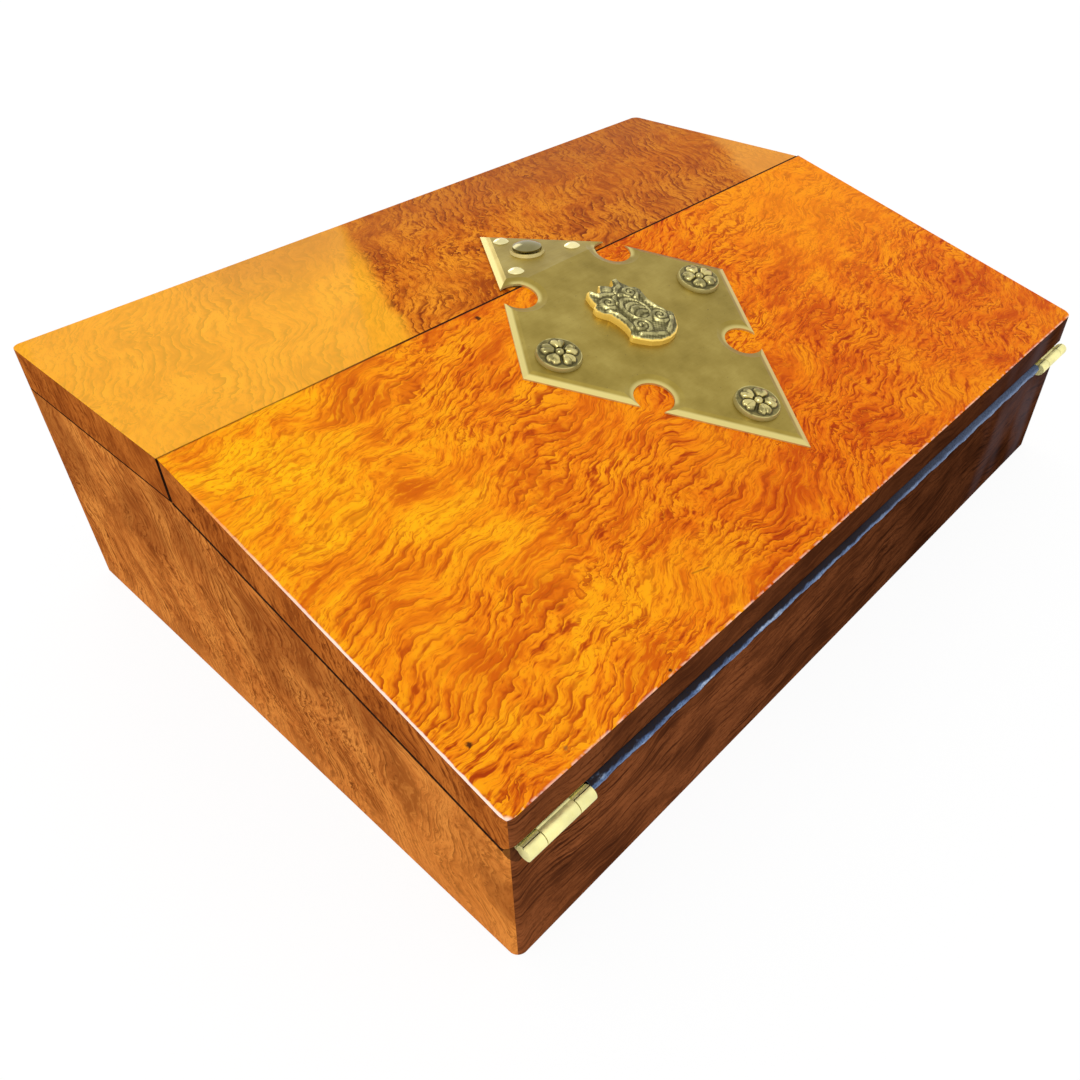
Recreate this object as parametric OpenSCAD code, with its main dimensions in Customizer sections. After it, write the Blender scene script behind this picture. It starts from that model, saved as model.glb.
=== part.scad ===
// Writing box: a sloping front flap that opens into a writing slope, a flat rear lid over the inkwells,
// and a brass lozenge plate whose bent tongue holds both shut.
// Origin: middle of the underside. X runs along the front, +Y to the back, +Z up. Millimetres.

/* [Box] */
// Width along the front
body_w = 356; // [320:1:400]
// Depth from the front face to the back face
body_d = 254; // [240:1:280]
// Height of the top at the seam and over the rear part
rear_h = 108; // [106:0.5:116]
// Height of the flap's top edge at the front
front_h = 69; // [67:0.5:76]
// Depth of the sloping flap, from the front face to the seam
flap_d = 148; // [138:1:156]
// Height of the flap's front edge
flap_edge_h = 15; // [14:0.5:20]
// Height of the flap's and lid's sides at the seam
lid_side_h = 16.8; // [16.4:0.1:20]

/* [Boards] */
// Thickness of the carcase walls
wall_t = 10; // [9:0.5:12]
// Thickness of the flap's and lid's rims
rim_t = 10; // [9:0.5:12]
// Radius of the box's upright corners
corner_r = 3.5; // [2:0.5:4.5]
// Thickness of the bottom board
floor_t = 7; // [5:0.5:9]
// Thickness of the flap's and lid's veneered top boards
top_t = 5; // [4:0.5:6]
// Thickness of the two writing boards
board_t = 4.5; // [3:0.5:5]
// Thickness of the partition under the seam
partition_t = 12; // [10:1:16]
// Thickness of the small dividers
divider_t = 4; // [3:0.5:6]
// Gap between base and flap, square to the split
split_gap = 1.5; // [1.2:0.1:2]
// Gap between base and rear lid
lid_gap = 0.3; // [0.3:0.1:0.8]
// Gap between flap and lid at the seam
seam_gap = 1; // [0.8:0.1:1.6]
// How far the lid's top lies below the flap's edge at the seam
lid_drop = 0.6; // [0.4:0.1:1]
// Chamfer along the edges that face the front hinges
groove_c = 2.8; // [2.7:0.1:3.2]
// Gap around the loose writing panel
panel_gap = 0.8; // [0.4:0.1:1.5]

/* [Cloth] */
// Thickness of the glued velvet
velvet_t = 0.6; // [0.4:0.1:0.7]
// Outer radius of the velvet fold at the front hinge line
fold_r = 2.2; // [1.8:0.1:2.3]
// Width of the ribbon lifting tab
tab_w = 14; // [10:1:20]
// Length of the ribbon lifting tab
tab_l = 22; // [16:1:30]
// Thickness of the ribbon lifting tab
tab_t = 0.4; // [0.3:0.1:0.6]

/* [Hinges] */
// Length of a hinge
hinge_l = 25.5; // [24:0.5:32]
// Radius of the hinge barrels
barrel_r = 2.5; // [2.2:0.1:2.6]
// Distance of the hinge axis out from the face of the box
axis_out = 1.6; // [1.5:0.1:2]
// Radius of the hinge pins
pin_r = 1.1; // [0.9:0.1:1.3]
// Radial clearance of the pins in the knuckles
pin_clear = 0.04; // [0.02:0.01:0.08]
// Width of a leaf, measured from the axis
leaf_w = 10.6; // [9.5:0.1:10.8]
// Thickness of a leaf
leaf_t = 1; // [0.8:0.1:1.2]
// Clearance between neighbouring knuckles and around let-in leaves
leaf_clear = 0.15; // [0.1:0.05:0.25]
// Distance of each front hinge from the side of the box
front_inset = 3.5; // [2:0.5:12]
// Distance of each rear hinge from the side of the box
rear_inset = 42; // [30:1:60]
// Radius of a leaf screw's head
screw_head_r = 2; // [1.8:0.1:2.2]
// Radius of a leaf screw's shank
screw_r = 1; // [0.8:0.1:1.2]
// Length of a leaf screw
screw_l = 7; // [6:0.5:8]
// Distance between the two screws of a leaf
screw_pitch = 15; // [12:0.5:17]
// Distance of the screws from the hinge axis
screw_in = 6.6; // [6:0.1:7.5]

/* [Brass plate] */
// Half of the lozenge's width
plate_hw = 60; // [54:1:66]
// Half of the lozenge's length, measured along the surface
plate_hl = 86; // [82:1:90]
// Thickness of the plate
plate_t = 2; // [1.6:0.1:2.6]
// Distance of the lozenge's middle in front of the seam
plate_off = 40; // [38:1:42]
// Width of the bevel around the plate
bevel_w = 3.6; // [2.5:0.1:4.2]
// Height of the square edge below the bevel
edge_t = 0.6; // [0.4:0.1:1]
// Radius of the bites in the plate's edges
bite_r = 7.7; // [6.5:0.1:8.5]
// Bite position across, from the lozenge's middle
bite_x = 28; // [27:0.5:30]
// Bite position along, from the lozenge's middle
bite_y = 35; // [33:0.5:37]
// Radius of a rosette's round base
rosette_r = 8.8; // [7.5:0.1:9.5]
// Height of a rosette's round base
rosette_base_t = 1.2; // [0.8:0.1:2]
// Radius of a rosette's petal
petal_r = 3; // [2.6:0.1:3.2]
// Radius of a rosette's middle bead
bead_r = 1.9; // [1.5:0.1:2.2]
// Rosette position across, from the lozenge's middle
rosette_x = 42; // [40:0.5:44]
// Front rosette's position in front of the lozenge's middle
rosette_y = 61; // [58:0.5:63]
// Width of the cast cartouche's body
cart_w = 25; // [20:0.5:30]
// Length of the cast cartouche
cart_l = 38; // [34:0.5:44]
// Thickness of the cartouche's ground
cart_t = 3.2; // [2.4:0.1:4]
// Height of the relief on the cartouche
relief_t = 1.6; // [0.8:0.1:2.4]

/* [Catch] */
// Distance of the button behind the seam
button_y = 17.5; // [17:0.5:18.5]
// Radius of the button's dome
button_r = 5.9; // [5.2:0.1:6.6]
// Height of the button's top above the plate when it is out
button_h = 4; // [3.6:0.1:5.4]
// Travel of the button
button_travel = 1.5; // [1:0.1:1.6]
// Radius of the button's stem
stem_r = 2.2; // [1.8:0.1:2.6]
// Wall of the collar around the button
collar_w = 1; // [0.8:0.1:1.6]
// Height of the collar around the button
collar_h = 1.6; // [1.2:0.1:2]
// Radius of a stud's dome
stud_r = 3.3; // [3:0.1:4]
// Height of a stud's dome
stud_h = 1.4; // [1:0.1:2.2]
// Radius of a stud's shank
shank_r = 1.3; // [1.1:0.1:1.5]
// Distance of the two side studs from the middle
stud_x = 16.5; // [16:0.5:17.5]
// Distance of the two side studs behind the seam
stud_y = 7.5; // [7.4:0.1:8.5]
// Distance of the rear stud behind the seam
stud_rear_y = 33; // [32:0.5:34]
// Thickness of the catch plate under the tongue
catch_t = 1.2; // [1:0.1:1.6]
// Radius of the button's guide tube
tube_r = 5; // [4.6:0.1:5.6]
// Length of the guide tube below the catch plate
tube_l = 7; // [6:0.5:8]
// Thickness of the spring hook
hook_t = 0.7; // [0.5:0.1:1]
// Width of the spring hook
hook_w = 7; // [5:0.5:9]
// Thickness of the keeper plate
keeper_t = 1.2; // [1:0.1:1.5]

/* [Inside] */
// Width of the inkwell bays at the two ends
bay_w = 42; // [40:0.5:48]
// Width of the inkwell bottles
bottle_w = 33; // [28:0.5:35]
// Height of the bottles' body
bottle_h = 38; // [30:1:42]
// Radius of the ink well bored in a bottle
well_r = 9.5; // [8:0.5:11]
// Distance of the inkwell caps' tops below the split
cap_drop = 0.7; // [0.4:0.1:3]
// Width of the pen tray, front to back
tray_w = 28; // [24:1:32]
// Height of the pen tray
tray_h = 16; // [14:1:20]
// Height of the pen tray's rim below the split
tray_drop = 3; // [2:0.5:6]
// Height of the letter dividers below the split
letter_drop = 6; // [3:1:14]

/* [Hidden] */
$fn = 48;
eps = 0.01;
far = 200;

// Height of the split between base and flap at the front, and at the seam and the back
split_front = front_h - flap_edge_h;
split_rear = rear_h - lid_side_h;
y_front = -body_d / 2;
y_back = body_d / 2;
y_seam = y_front + flap_d;
x_side = body_w / 2;
x_in = x_side - wall_t;
top_a = atan((rear_h - front_h) / flap_d);
split_a = atan((split_rear - split_front) / flap_d);
lid_z = rear_h - lid_drop;
flap_back = y_seam - seam_gap / 2;
lid_front = y_seam + seam_gap / 2;
half_gap = split_gap / 2;
knuckle_l = hinge_l / 4;
barrel_clear = 0.5;
groove_r = barrel_r + barrel_clear;

// Height of the split under the flap, and of the flap's top, at depth y
function split_z(y) = split_front + (y - y_front) * tan(split_a);
function top_z(y) = rear_h + (y - y_seam) * tan(top_a);
// Rise along Z of a distance measured square to the split
function up(d) = d / cos(split_a);

// An outline drawn in (y, z), extruded along X
module along_x(x0, x1) {
    translate([x0, 0, 0]) rotate([90, 0, 90]) linear_extrude(x1 - x0) children();
}
// A band that follows the split line from d0 to d1 square to it
module split_band(ya, yb, d0, d1) {
    polygon([[ya, split_z(ya) + up(d0)], [yb, split_z(yb) + up(d0)],
        [yb, split_z(yb) + up(d1)], [ya, split_z(ya) + up(d1)]]);
}
// Frames: the flap's sloping top and the lid's flat top meet at the seam
module on_slope() {
    translate([0, y_seam, rear_h]) rotate([top_a, 0, 0]) children();
}
module on_flat() {
    translate([0, y_seam, rear_h]) children();
}
module at_plate_middle() {
    on_slope() translate([0, -plate_off, plate_t]) children();
}
// Frames of the hinge axes: local +Y runs into the wood, local Z is square to the split
module at_front_axis() {
    translate([0, y_front - axis_out, split_front - axis_out * tan(split_a)]) rotate([split_a, 0, 0]) children();
}
module at_rear_axis() {
    translate([0, y_back + axis_out, split_rear]) mirror([0, 1, 0]) children();
}
module front_hinge_at(side) {
    at_front_axis() translate([side * (x_side - front_inset - hinge_l / 2), 0, 0]) children();
}
module rear_hinge_at(side) {
    at_rear_axis() translate([side * (x_side - rear_inset - hinge_l / 2), 0, 0]) children();
}

// Plan of one mitred board of a rectangular frame from (x0, y0) to (x1, y1), boards t thick
module mitred_plan(which, x0, x1, y0, y1, t) {
    if (which == "front") polygon([[x0, y0], [x1, y0], [x1 - t, y0 + t], [x0 + t, y0 + t]]);
    if (which == "back") polygon([[x0, y1], [x1, y1], [x1 - t, y1 - t], [x0 + t, y1 - t]]);
    if (which == "left") polygon([[x0, y0], [x0 + t, y0 + t], [x0 + t, y1 - t], [x0, y1]]);
    if (which == "right") polygon([[x1, y0], [x1 - t, y0 + t], [x1 - t, y1 - t], [x1, y1]]);
}

// Side profile of the whole base
module base_profile() {
    polygon([[y_front, 0], [y_back, 0], [y_back, split_rear - lid_gap / 2], [y_seam, split_rear - lid_gap / 2],
        [y_seam, split_rear - up(half_gap)], [y_front, split_front - up(half_gap)]]);
}
// The wood outside the four rounded upright corners; the arcs run a little past the faces
arc_past = 0.02;
module outside_corners() {
    for (mx = [0, 1]) for (my = [0, 1]) mirror([mx, 0, 0]) mirror([0, my, 0])
        translate([x_side - corner_r, body_d / 2 - corner_r, -1]) difference() {
            cube([2 * corner_r, 2 * corner_r, far]);
            translate([0, 0, -1]) cylinder(r = corner_r + arc_past, h = far + 2);
        }
}
module base_board(which) {
    difference() {
        intersection() {
            linear_extrude(far) mitred_plan(which, -x_side, x_side, y_front, y_back, wall_t);
            along_x(-x_side, x_side) base_profile();
        }
        outside_corners();
    }
}
// Side profiles of the flap and the lid, a little over the top, where the rims are cut back to the arrises
arris = 1;
over = arris / 2;
// Glue line between the rims and the top boards
glue_t = 0.1;
module flap_profile() {
    polygon([[y_front, split_front + up(half_gap)], [y_front, front_h + over], [flap_back, top_z(flap_back) + over],
        [flap_back, split_z(flap_back) + up(half_gap)]]);
}
module lid_profile() {
    polygon([[lid_front, split_rear + lid_gap / 2], [lid_front, lid_z + over], [y_back, lid_z + over],
        [y_back, split_rear + lid_gap / 2]]);
}
// The wood outside a 45 degree mitre plane through an edge along X, with the board towards +Y
module under_mitre() {
    run = 2 * top_t;
    along_x(-far, far) polygon([[-run, run], [run, -run], [-run, -run]]);
}
// A top board with its four edges mitred under, so that no joint shows: arrises at z = 0
// With a rise it is the cutter for the rims, whose planes run on past the arrises
module mitred_top(x0, x1, y0, y1, rise = 0) {
    past = 2 * arris;
    difference() {
        translate([x0 - past, y0 - past, -top_t]) cube([x1 - x0 + 2 * past, y1 - y0 + 2 * past, top_t + rise]);
        translate([0, y0, 0]) under_mitre();
        translate([0, y1, 0]) rotate([0, 0, 180]) under_mitre();
        translate([x0, 0, 0]) rotate([0, 0, -90]) under_mitre();
        translate([x1, 0, 0]) rotate([0, 0, 90]) under_mitre();
    }
}
module flap_top_shape(rise = 0, sink = 0) {
    slope_l = flap_d / cos(top_a);
    on_slope() translate([0, 0, -sink]) mitred_top(-x_side, x_side, -slope_l, -seam_gap / 2 / cos(top_a), rise);
}
module lid_top_shape(rise = 0, sink = 0) {
    translate([0, 0, lid_z - sink]) mitred_top(-x_side, x_side, lid_front, y_back, rise);
}
module flap_rim(which) {
    difference() {
        intersection() {
            linear_extrude(far) mitred_plan(which, -x_side, x_side, y_front, flap_back, rim_t);
            along_x(-x_side, x_side) flap_profile();
        }
        flap_top_shape(arris, glue_t);
        outside_corners();
    }
}
module lid_rim(which) {
    difference() {
        intersection() {
            linear_extrude(far) mitred_plan(which, -x_side, x_side, lid_front, y_back, rim_t);
            along_x(-x_side, x_side) lid_profile();
        }
        lid_top_shape(arris, glue_t);
        outside_corners();
    }
}

// Hinge parts, drawn about an axis along X at the origin, wood towards +Y
module rod_x(r, l) {
    translate([-l / 2, 0, 0]) rotate([0, 90, 0]) cylinder(r = r, h = l);
}
module knuckle_body(x0, l, zdir, gap) {
    translate([x0 + l / 2, 0, 0]) rod_x(barrel_r, l);
    translate([x0, 0, min(zdir * gap / 2, zdir * (gap / 2 + leaf_t))]) cube([l, barrel_r + 1, leaf_t]);
}
module leaf_screw_places() {
    for (sx = [-1, 1]) translate([sx * screw_pitch / 2, screw_in, 0]) children();
}
// One screw: head flush at z = 0, shank down
module screw(grow = 0) {
    translate([0, 0, -leaf_t]) cylinder(r1 = screw_r + grow, r2 = screw_head_r + grow, h = leaf_t);
    translate([0, 0, -screw_l]) cylinder(r = screw_r + grow, h = screw_l - leaf_t + eps);
}
// zdir is -1 for the lower leaf and 1 for the upper one; the lower leaf has the outer knuckles
module leaf(zdir, gap) {
    difference() {
        union() {
            translate([-hinge_l / 2, barrel_r + leaf_clear, min(zdir * gap / 2, zdir * (gap / 2 + leaf_t))])
                cube([hinge_l, leaf_w - barrel_r - leaf_clear, leaf_t]);
            if (zdir < 0) {
                knuckle_body(-hinge_l / 2, knuckle_l - leaf_clear, zdir, gap);
                knuckle_body(hinge_l / 2 - knuckle_l + leaf_clear, knuckle_l - leaf_clear, zdir, gap);
            }
            if (zdir > 0) knuckle_body(-knuckle_l + leaf_clear, 2 * knuckle_l - 2 * leaf_clear, zdir, gap);
        }
        rod_x(pin_r + pin_clear, hinge_l + 2);
        leaf_screw_places() translate([0, 0, zdir * gap / 2]) rotate([zdir > 0 ? 180 : 0, 0, 0]) screw(pin_clear);
    }
}
module leaf_screws(zdir, gap) {
    leaf_screw_places() translate([0, 0, zdir * gap / 2]) rotate([zdir > 0 ? 180 : 0, 0, 0]) difference() {
        screw();
        translate([-screw_head_r, -0.25, -0.4]) cube([2 * screw_head_r, 0.5, 1]);
    }
}
// The room that a leaf needs in the wood: shallow mortise, barrel groove and screw holes
module leaf_cut(zdir, gap) {
    translate([-hinge_l / 2 - leaf_clear, 0, zdir > 0 ? -leaf_t : -gap / 2 - leaf_t])
        cube([hinge_l + 2 * leaf_clear, leaf_w + leaf_clear, gap / 2 + 2 * leaf_t]);
    rod_x(groove_r, hinge_l + 2 * leaf_clear);
    leaf_screw_places() translate([0, 0, zdir * gap / 2]) rotate([zdir > 0 ? 180 : 0, 0, 0]) screw(pin_clear);
}
// Chamfer along the front hinge line, running past the front face and the split
module groove_cut(zdir) {
    past = groove_c;
    at_front_axis() translate([0, axis_out, zdir * half_gap]) along_x(-far, far)
        polygon([[groove_c + past, -zdir * past], [-past, zdir * (groove_c + past)], [-past, -zdir * past]]);
}

// Carcase
module base_bottom() {
    color("saddlebrown") translate([-x_in, y_front + wall_t, 0]) cube([2 * x_in, body_d - 2 * wall_t, floor_t]);
}
// Half length of the cloth's slot, up to the two front hinges, and of the velvet fold between their barrels
slot_half = x_side - front_inset - hinge_l;
fold_clear = 0.6;
fold_half = slot_half - fold_clear;
module front_wall() {
    color("saddlebrown") difference() {
        base_board("front");
        groove_cut(-1);
        along_x(-slot_half, slot_half)
            split_band(y_front - 1, y_front + wall_t + 1, -half_gap - velvet_t, 0);
        for (side = [-1, 1]) front_hinge_at(side) leaf_cut(-1, split_gap);
    }
}
module back_wall() {
    color("saddlebrown") difference() {
        base_board("back");
        for (side = [-1, 1]) rear_hinge_at(side) leaf_cut(-1, lid_gap);
    }
}
module side_wall(which, side) {
    difference() {
        base_board(which);
        groove_cut(-1);
        front_hinge_at(side) leaf_cut(-1, split_gap);
    }
}
module left_wall() { color("peru") side_wall("left", -1); }
module right_wall() { color("peru") side_wall("right", 1); }
module cross_partition() {
    ya = y_seam - partition_t / 2;
    yb = y_seam + partition_t / 2;
    color("peru") along_x(-x_in, x_in) polygon([[ya, floor_t], [yb, floor_t], [yb, split_rear - lid_gap / 2],
        [y_seam, split_rear - lid_gap / 2], [y_seam, split_rear - up(half_gap)], [ya, split_z(ya) - up(half_gap)]]);
}
panel_front = y_front + wall_t;
panel_back = y_seam - partition_t / 2 - panel_gap;
panel_x = x_in - panel_gap;
panel_under = -half_gap - velvet_t - board_t;
panel_end_gap = 0.3;
ledge_w = 8;
// The ledges start behind the arc of the panel's front end
ledge_set = 8;
module panel_ledges() {
    color("peru") for (side = [-1, 1]) along_x(side > 0 ? x_in - ledge_w : -x_in, side > 0 ? x_in : ledge_w - x_in)
        split_band(panel_front + ledge_set, y_seam - partition_t / 2, panel_under - ledge_w, panel_under);
}
// The shelves carry the bottles, so that their caps end just under the lid
collar_l = 5;
cap_gap = 0.3;
cap_skirt = 1.8;
cap_dome = 3.4;
cap_shoulder = 1.7;
shelf_h = split_rear - cap_drop - cap_dome - cap_skirt - cap_gap - collar_l - bottle_h;
bay_x = x_in - bay_w;
bay_front = y_seam + partition_t / 2;
bay_back = y_back - wall_t;
module bay_dividers() {
    color("peru") for (side = [-1, 1])
        translate([side > 0 ? bay_x - divider_t : -bay_x, bay_front, floor_t])
            cube([divider_t, bay_back - bay_front, split_rear - letter_drop - floor_t]);
}
bottle_gap = 1;
bottle_y = bay_front + bottle_gap + bottle_w / 2;
bottle_x = x_in - bay_w / 2;
// The rail behind a bottle stays below the bottle's shoulder, so that the cap swings over it
rail_drop = 2;
module inkwell_shelves() {
    color("peru") for (side = [-1, 1]) {
        translate([side > 0 ? bay_x : -x_in, bay_front, floor_t])
            cube([bay_w, bottle_w + 2 * bottle_gap, shelf_h - floor_t]);
        translate([side > 0 ? bay_x : -x_in, bay_front + bottle_w + 2 * bottle_gap, floor_t])
            cube([bay_w, divider_t, shelf_h + bottle_h - rail_drop - floor_t]);
    }
}
tray_back = bay_front + tray_w;
inner_x = bay_x - divider_t;
letter_gap = (bay_back - tray_back - 2 * divider_t) / 2;
notch_r = 26;
notch_up = 6;
module letter_divider(y) {
    difference() {
        translate([-inner_x, y, floor_t]) cube([2 * inner_x, divider_t, split_rear - letter_drop - floor_t]);
        translate([0, y - 1, split_rear + notch_up]) rotate([-90, 0, 0]) cylinder(r = notch_r, h = divider_t + 2);
    }
}
module letter_dividers() {
    color("peru") {
        letter_divider(tray_back);
        letter_divider(tray_back + divider_t + letter_gap);
    }
}
tray_z = split_rear - tray_drop - tray_h;
scoop_r = tray_w / 2 - 3;
scoop_end = 6;
tray_slack = 0.4;
bearer_w = 6;
bearer_h = 8;
module pen_tray() {
    tray_l = 2 * inner_x - 2 * panel_gap;
    color("peru") difference() {
        translate([-tray_l / 2, bay_front + tray_slack, tray_z]) cube([tray_l, tray_w - panel_gap, tray_h]);
        translate([0, bay_front + tray_w / 2, tray_z + tray_h]) {
            rod_x(scoop_r, tray_l - 2 * scoop_r - 2 * scoop_end);
            for (side = [-1, 1]) translate([side * (tray_l / 2 - scoop_r - scoop_end), 0, 0]) sphere(r = scoop_r);
        }
    }
}
module tray_bearers() {
    color("peru") for (side = [-1, 1])
        translate([side > 0 ? inner_x - bearer_w : -inner_x, bay_front, tray_z - bearer_h])
            cube([bearer_w, tray_w, bearer_h]);
}

// Inkwells: a square glass bottle with cut corners, a brass collar with its hinge, and a domed cap
collar_r = 14;
neck_r = 12;
neck_l = 3;
cap_z = shelf_h + bottle_h + collar_l + cap_gap;
cap_axis_y = collar_r + 1.8;
cap_knuckle = 5;
cap_barrel_r = 1.7;
cap_pin_r = 0.8;
well_floor = 5;
module at_bottle(side) {
    translate([side * bottle_x, bottle_y, 0]) children();
}
module bottle() {
    h = bottle_w / 2;
    c = 3;
    difference() {
        union() {
            translate([0, 0, shelf_h]) linear_extrude(bottle_h) polygon([[-h + c, -h], [h - c, -h], [h, -h + c],
                [h, h - c], [h - c, h], [-h + c, h], [-h, h - c], [-h, -h + c]]);
            translate([0, 0, shelf_h + bottle_h]) cylinder(r = neck_r, h = neck_l);
        }
        translate([0, 0, shelf_h + well_floor]) cylinder(r = well_r, h = far);
    }
}
module inkwell_left() { color("lightcyan") at_bottle(-1) bottle(); }
module inkwell_right() { color("lightcyan") at_bottle(1) bottle(); }
module collar() {
    difference() {
        union() {
            translate([0, 0, shelf_h + bottle_h]) cylinder(r = collar_r, h = collar_l);
            for (side = [-1, 1]) translate([side * cap_knuckle, 0, cap_z]) {
                translate([0, cap_axis_y, 0]) rod_x(cap_barrel_r, cap_knuckle - cap_gap);
                translate([(cap_gap - cap_knuckle) / 2, collar_r - 2, -3]) cube([cap_knuckle - cap_gap, 3.4, 2.7]);
            }
        }
        translate([0, 0, shelf_h + bottle_h - 1]) cylinder(r = neck_r, h = neck_l + 1);
        cylinder(r = well_r, h = far);
    }
    translate([0, cap_axis_y, cap_z]) rod_x(cap_pin_r, 3 * cap_knuckle - cap_gap);
}
module inkwell_collar_left() { color("goldenrod") at_bottle(-1) collar(); }
module inkwell_collar_right() { color("goldenrod") at_bottle(1) collar(); }
module cap() {
    dome_base = collar_r - cap_shoulder;
    dome_r = (dome_base * dome_base + cap_dome * cap_dome) / (2 * cap_dome);
    difference() {
        union() {
            translate([0, 0, cap_z]) rotate_extrude() intersection() {
                union() {
                    square([collar_r, cap_skirt]);
                    translate([0, cap_skirt + cap_dome - dome_r]) circle(r = dome_r);
                }
                square([collar_r, cap_skirt + cap_dome + 1]);
            }
            translate([0, cap_axis_y, cap_z]) rod_x(cap_barrel_r, cap_knuckle - cap_gap);
            translate([-cap_knuckle / 2 + cap_gap / 2, collar_r - 2, cap_z]) cube([cap_knuckle - cap_gap, 3.8, 1.4]);
            translate([-2.5, -collar_r - 1.6, cap_z]) cube([5, 3, 1.2]);
        }
        translate([0, 0, cap_z - 1]) cylinder(r = well_r, h = 2);
        translate([0, cap_axis_y, cap_z]) rod_x(cap_pin_r + pin_clear, cap_knuckle + 1);
    }
}
module inkwell_cap_left() { color("goldenrod") at_bottle(-1) cap(); }
module inkwell_cap_right() { color("goldenrod") at_bottle(1) cap(); }

// Hinges
module front_base_leaf_left() { color("gold") front_hinge_at(-1) leaf(-1, split_gap); }
module front_base_leaf_right() { color("gold") front_hinge_at(1) leaf(-1, split_gap); }
module front_flap_leaf_left() { color("gold") front_hinge_at(-1) leaf(1, split_gap); }
module front_flap_leaf_right() { color("gold") front_hinge_at(1) leaf(1, split_gap); }
module front_pin_left() { color("gold") front_hinge_at(-1) rod_x(pin_r, hinge_l); }
module front_pin_right() { color("gold") front_hinge_at(1) rod_x(pin_r, hinge_l); }
module rear_base_leaf_left() { color("gold") rear_hinge_at(-1) leaf(-1, lid_gap); }
module rear_base_leaf_right() { color("gold") rear_hinge_at(1) leaf(-1, lid_gap); }
module rear_lid_leaf_left() { color("gold") rear_hinge_at(-1) leaf(1, lid_gap); }
module rear_lid_leaf_right() { color("gold") rear_hinge_at(1) leaf(1, lid_gap); }
module rear_pin_left() { color("gold") rear_hinge_at(-1) rod_x(pin_r, hinge_l); }
module rear_pin_right() { color("gold") rear_hinge_at(1) rod_x(pin_r, hinge_l); }
module base_screws() {
    color("gold") for (side = [-1, 1]) {
        front_hinge_at(side) leaf_screws(-1, split_gap);
        rear_hinge_at(side) leaf_screws(-1, lid_gap);
    }
}
module flap_screws() {
    color("gold") for (side = [-1, 1]) front_hinge_at(side) leaf_screws(1, split_gap);
}
module lid_screws() {
    color("gold") for (side = [-1, 1]) rear_hinge_at(side) leaf_screws(1, lid_gap);
}

// Cloth: the fold bridges the split in front of the two writing surfaces
fold_y = axis_out + 0.3;
cloth_gap = 0.1;
module hinge_cloth() {
    inner = (wall_t + axis_out) / cos(split_a);
    color("slategray") at_front_axis() along_x(-fold_half, fold_half) {
        difference() {
            translate([fold_y, 0]) circle(r = fold_r);
            translate([fold_y, 0]) circle(r = fold_r - velvet_t);
            translate([fold_y, cloth_gap - half_gap]) square([fold_r + 1, 2 * (half_gap - cloth_gap)]);
        }
        translate([fold_y + fold_r - 1, -half_gap - velvet_t]) square([inner - fold_y - fold_r + 1 - 0.2, velvet_t]);
        translate([fold_y + fold_r - 1, half_gap]) square([inner - fold_y - fold_r + 1 - 0.2, velvet_t]);
    }
}
module writing_panel() {
    color("peru") along_x(-panel_x, panel_x)
        split_band(panel_front + panel_end_gap, panel_back, panel_under, -half_gap - velvet_t);
}
module panel_velvet() {
    color("slategray") along_x(-panel_x, panel_x)
        split_band(panel_front + panel_end_gap, panel_back, -half_gap - velvet_t, -half_gap);
}
module lifting_tab() {
    color("midnightblue") along_x(-tab_w / 2, tab_w / 2)
        split_band(panel_back - tab_l, panel_back, -half_gap, -half_gap + tab_t);
}

// Flap
module flap_top() {
    color("darkorange") difference() {
        flap_top_shape();
        outside_corners();
    }
}
module flap_front_rim() {
    color("saddlebrown") difference() {
        flap_rim("front");
        groove_cut(1);
        along_x(-slot_half, slot_half)
            split_band(y_front - 1, y_front + rim_t + 1, 0, half_gap + velvet_t + cloth_gap);
        for (side = [-1, 1]) front_hinge_at(side) leaf_cut(1, split_gap);
    }
}
module flap_rear_rim() { color("saddlebrown") flap_rim("back"); }
module flap_side_rim(which, side) {
    difference() {
        flap_rim(which);
        groove_cut(1);
        front_hinge_at(side) leaf_cut(1, split_gap);
    }
}
module flap_left_rim() { color("chocolate") flap_side_rim("left", -1); }
module flap_right_rim() { color("chocolate") flap_side_rim("right", 1); }
module flap_board() {
    color("peru") along_x(-x_side + rim_t, x_side - rim_t)
        split_band(y_front + rim_t, flap_back - rim_t, half_gap + velvet_t, half_gap + velvet_t + board_t);
}
module flap_velvet() {
    color("slategray") along_x(-x_side + rim_t, x_side - rim_t)
        split_band(y_front + rim_t, flap_back - rim_t, half_gap, half_gap + velvet_t);
}

// Brass plate: a lozenge with bevelled edges and four bites, bent at the seam
// The tongue's bites sit a little further back, so that the two halves' walls never touch along one line
bend_shift = 0.2;
// A core inside the metal runs through the bend and joins the two halves in one solid
core_hw = 18;
core_d = 2;
core_in = 0.5;
// A bite's own seam line points to the plate's middle, away from the straight edge
bite_turn = 235;
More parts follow.
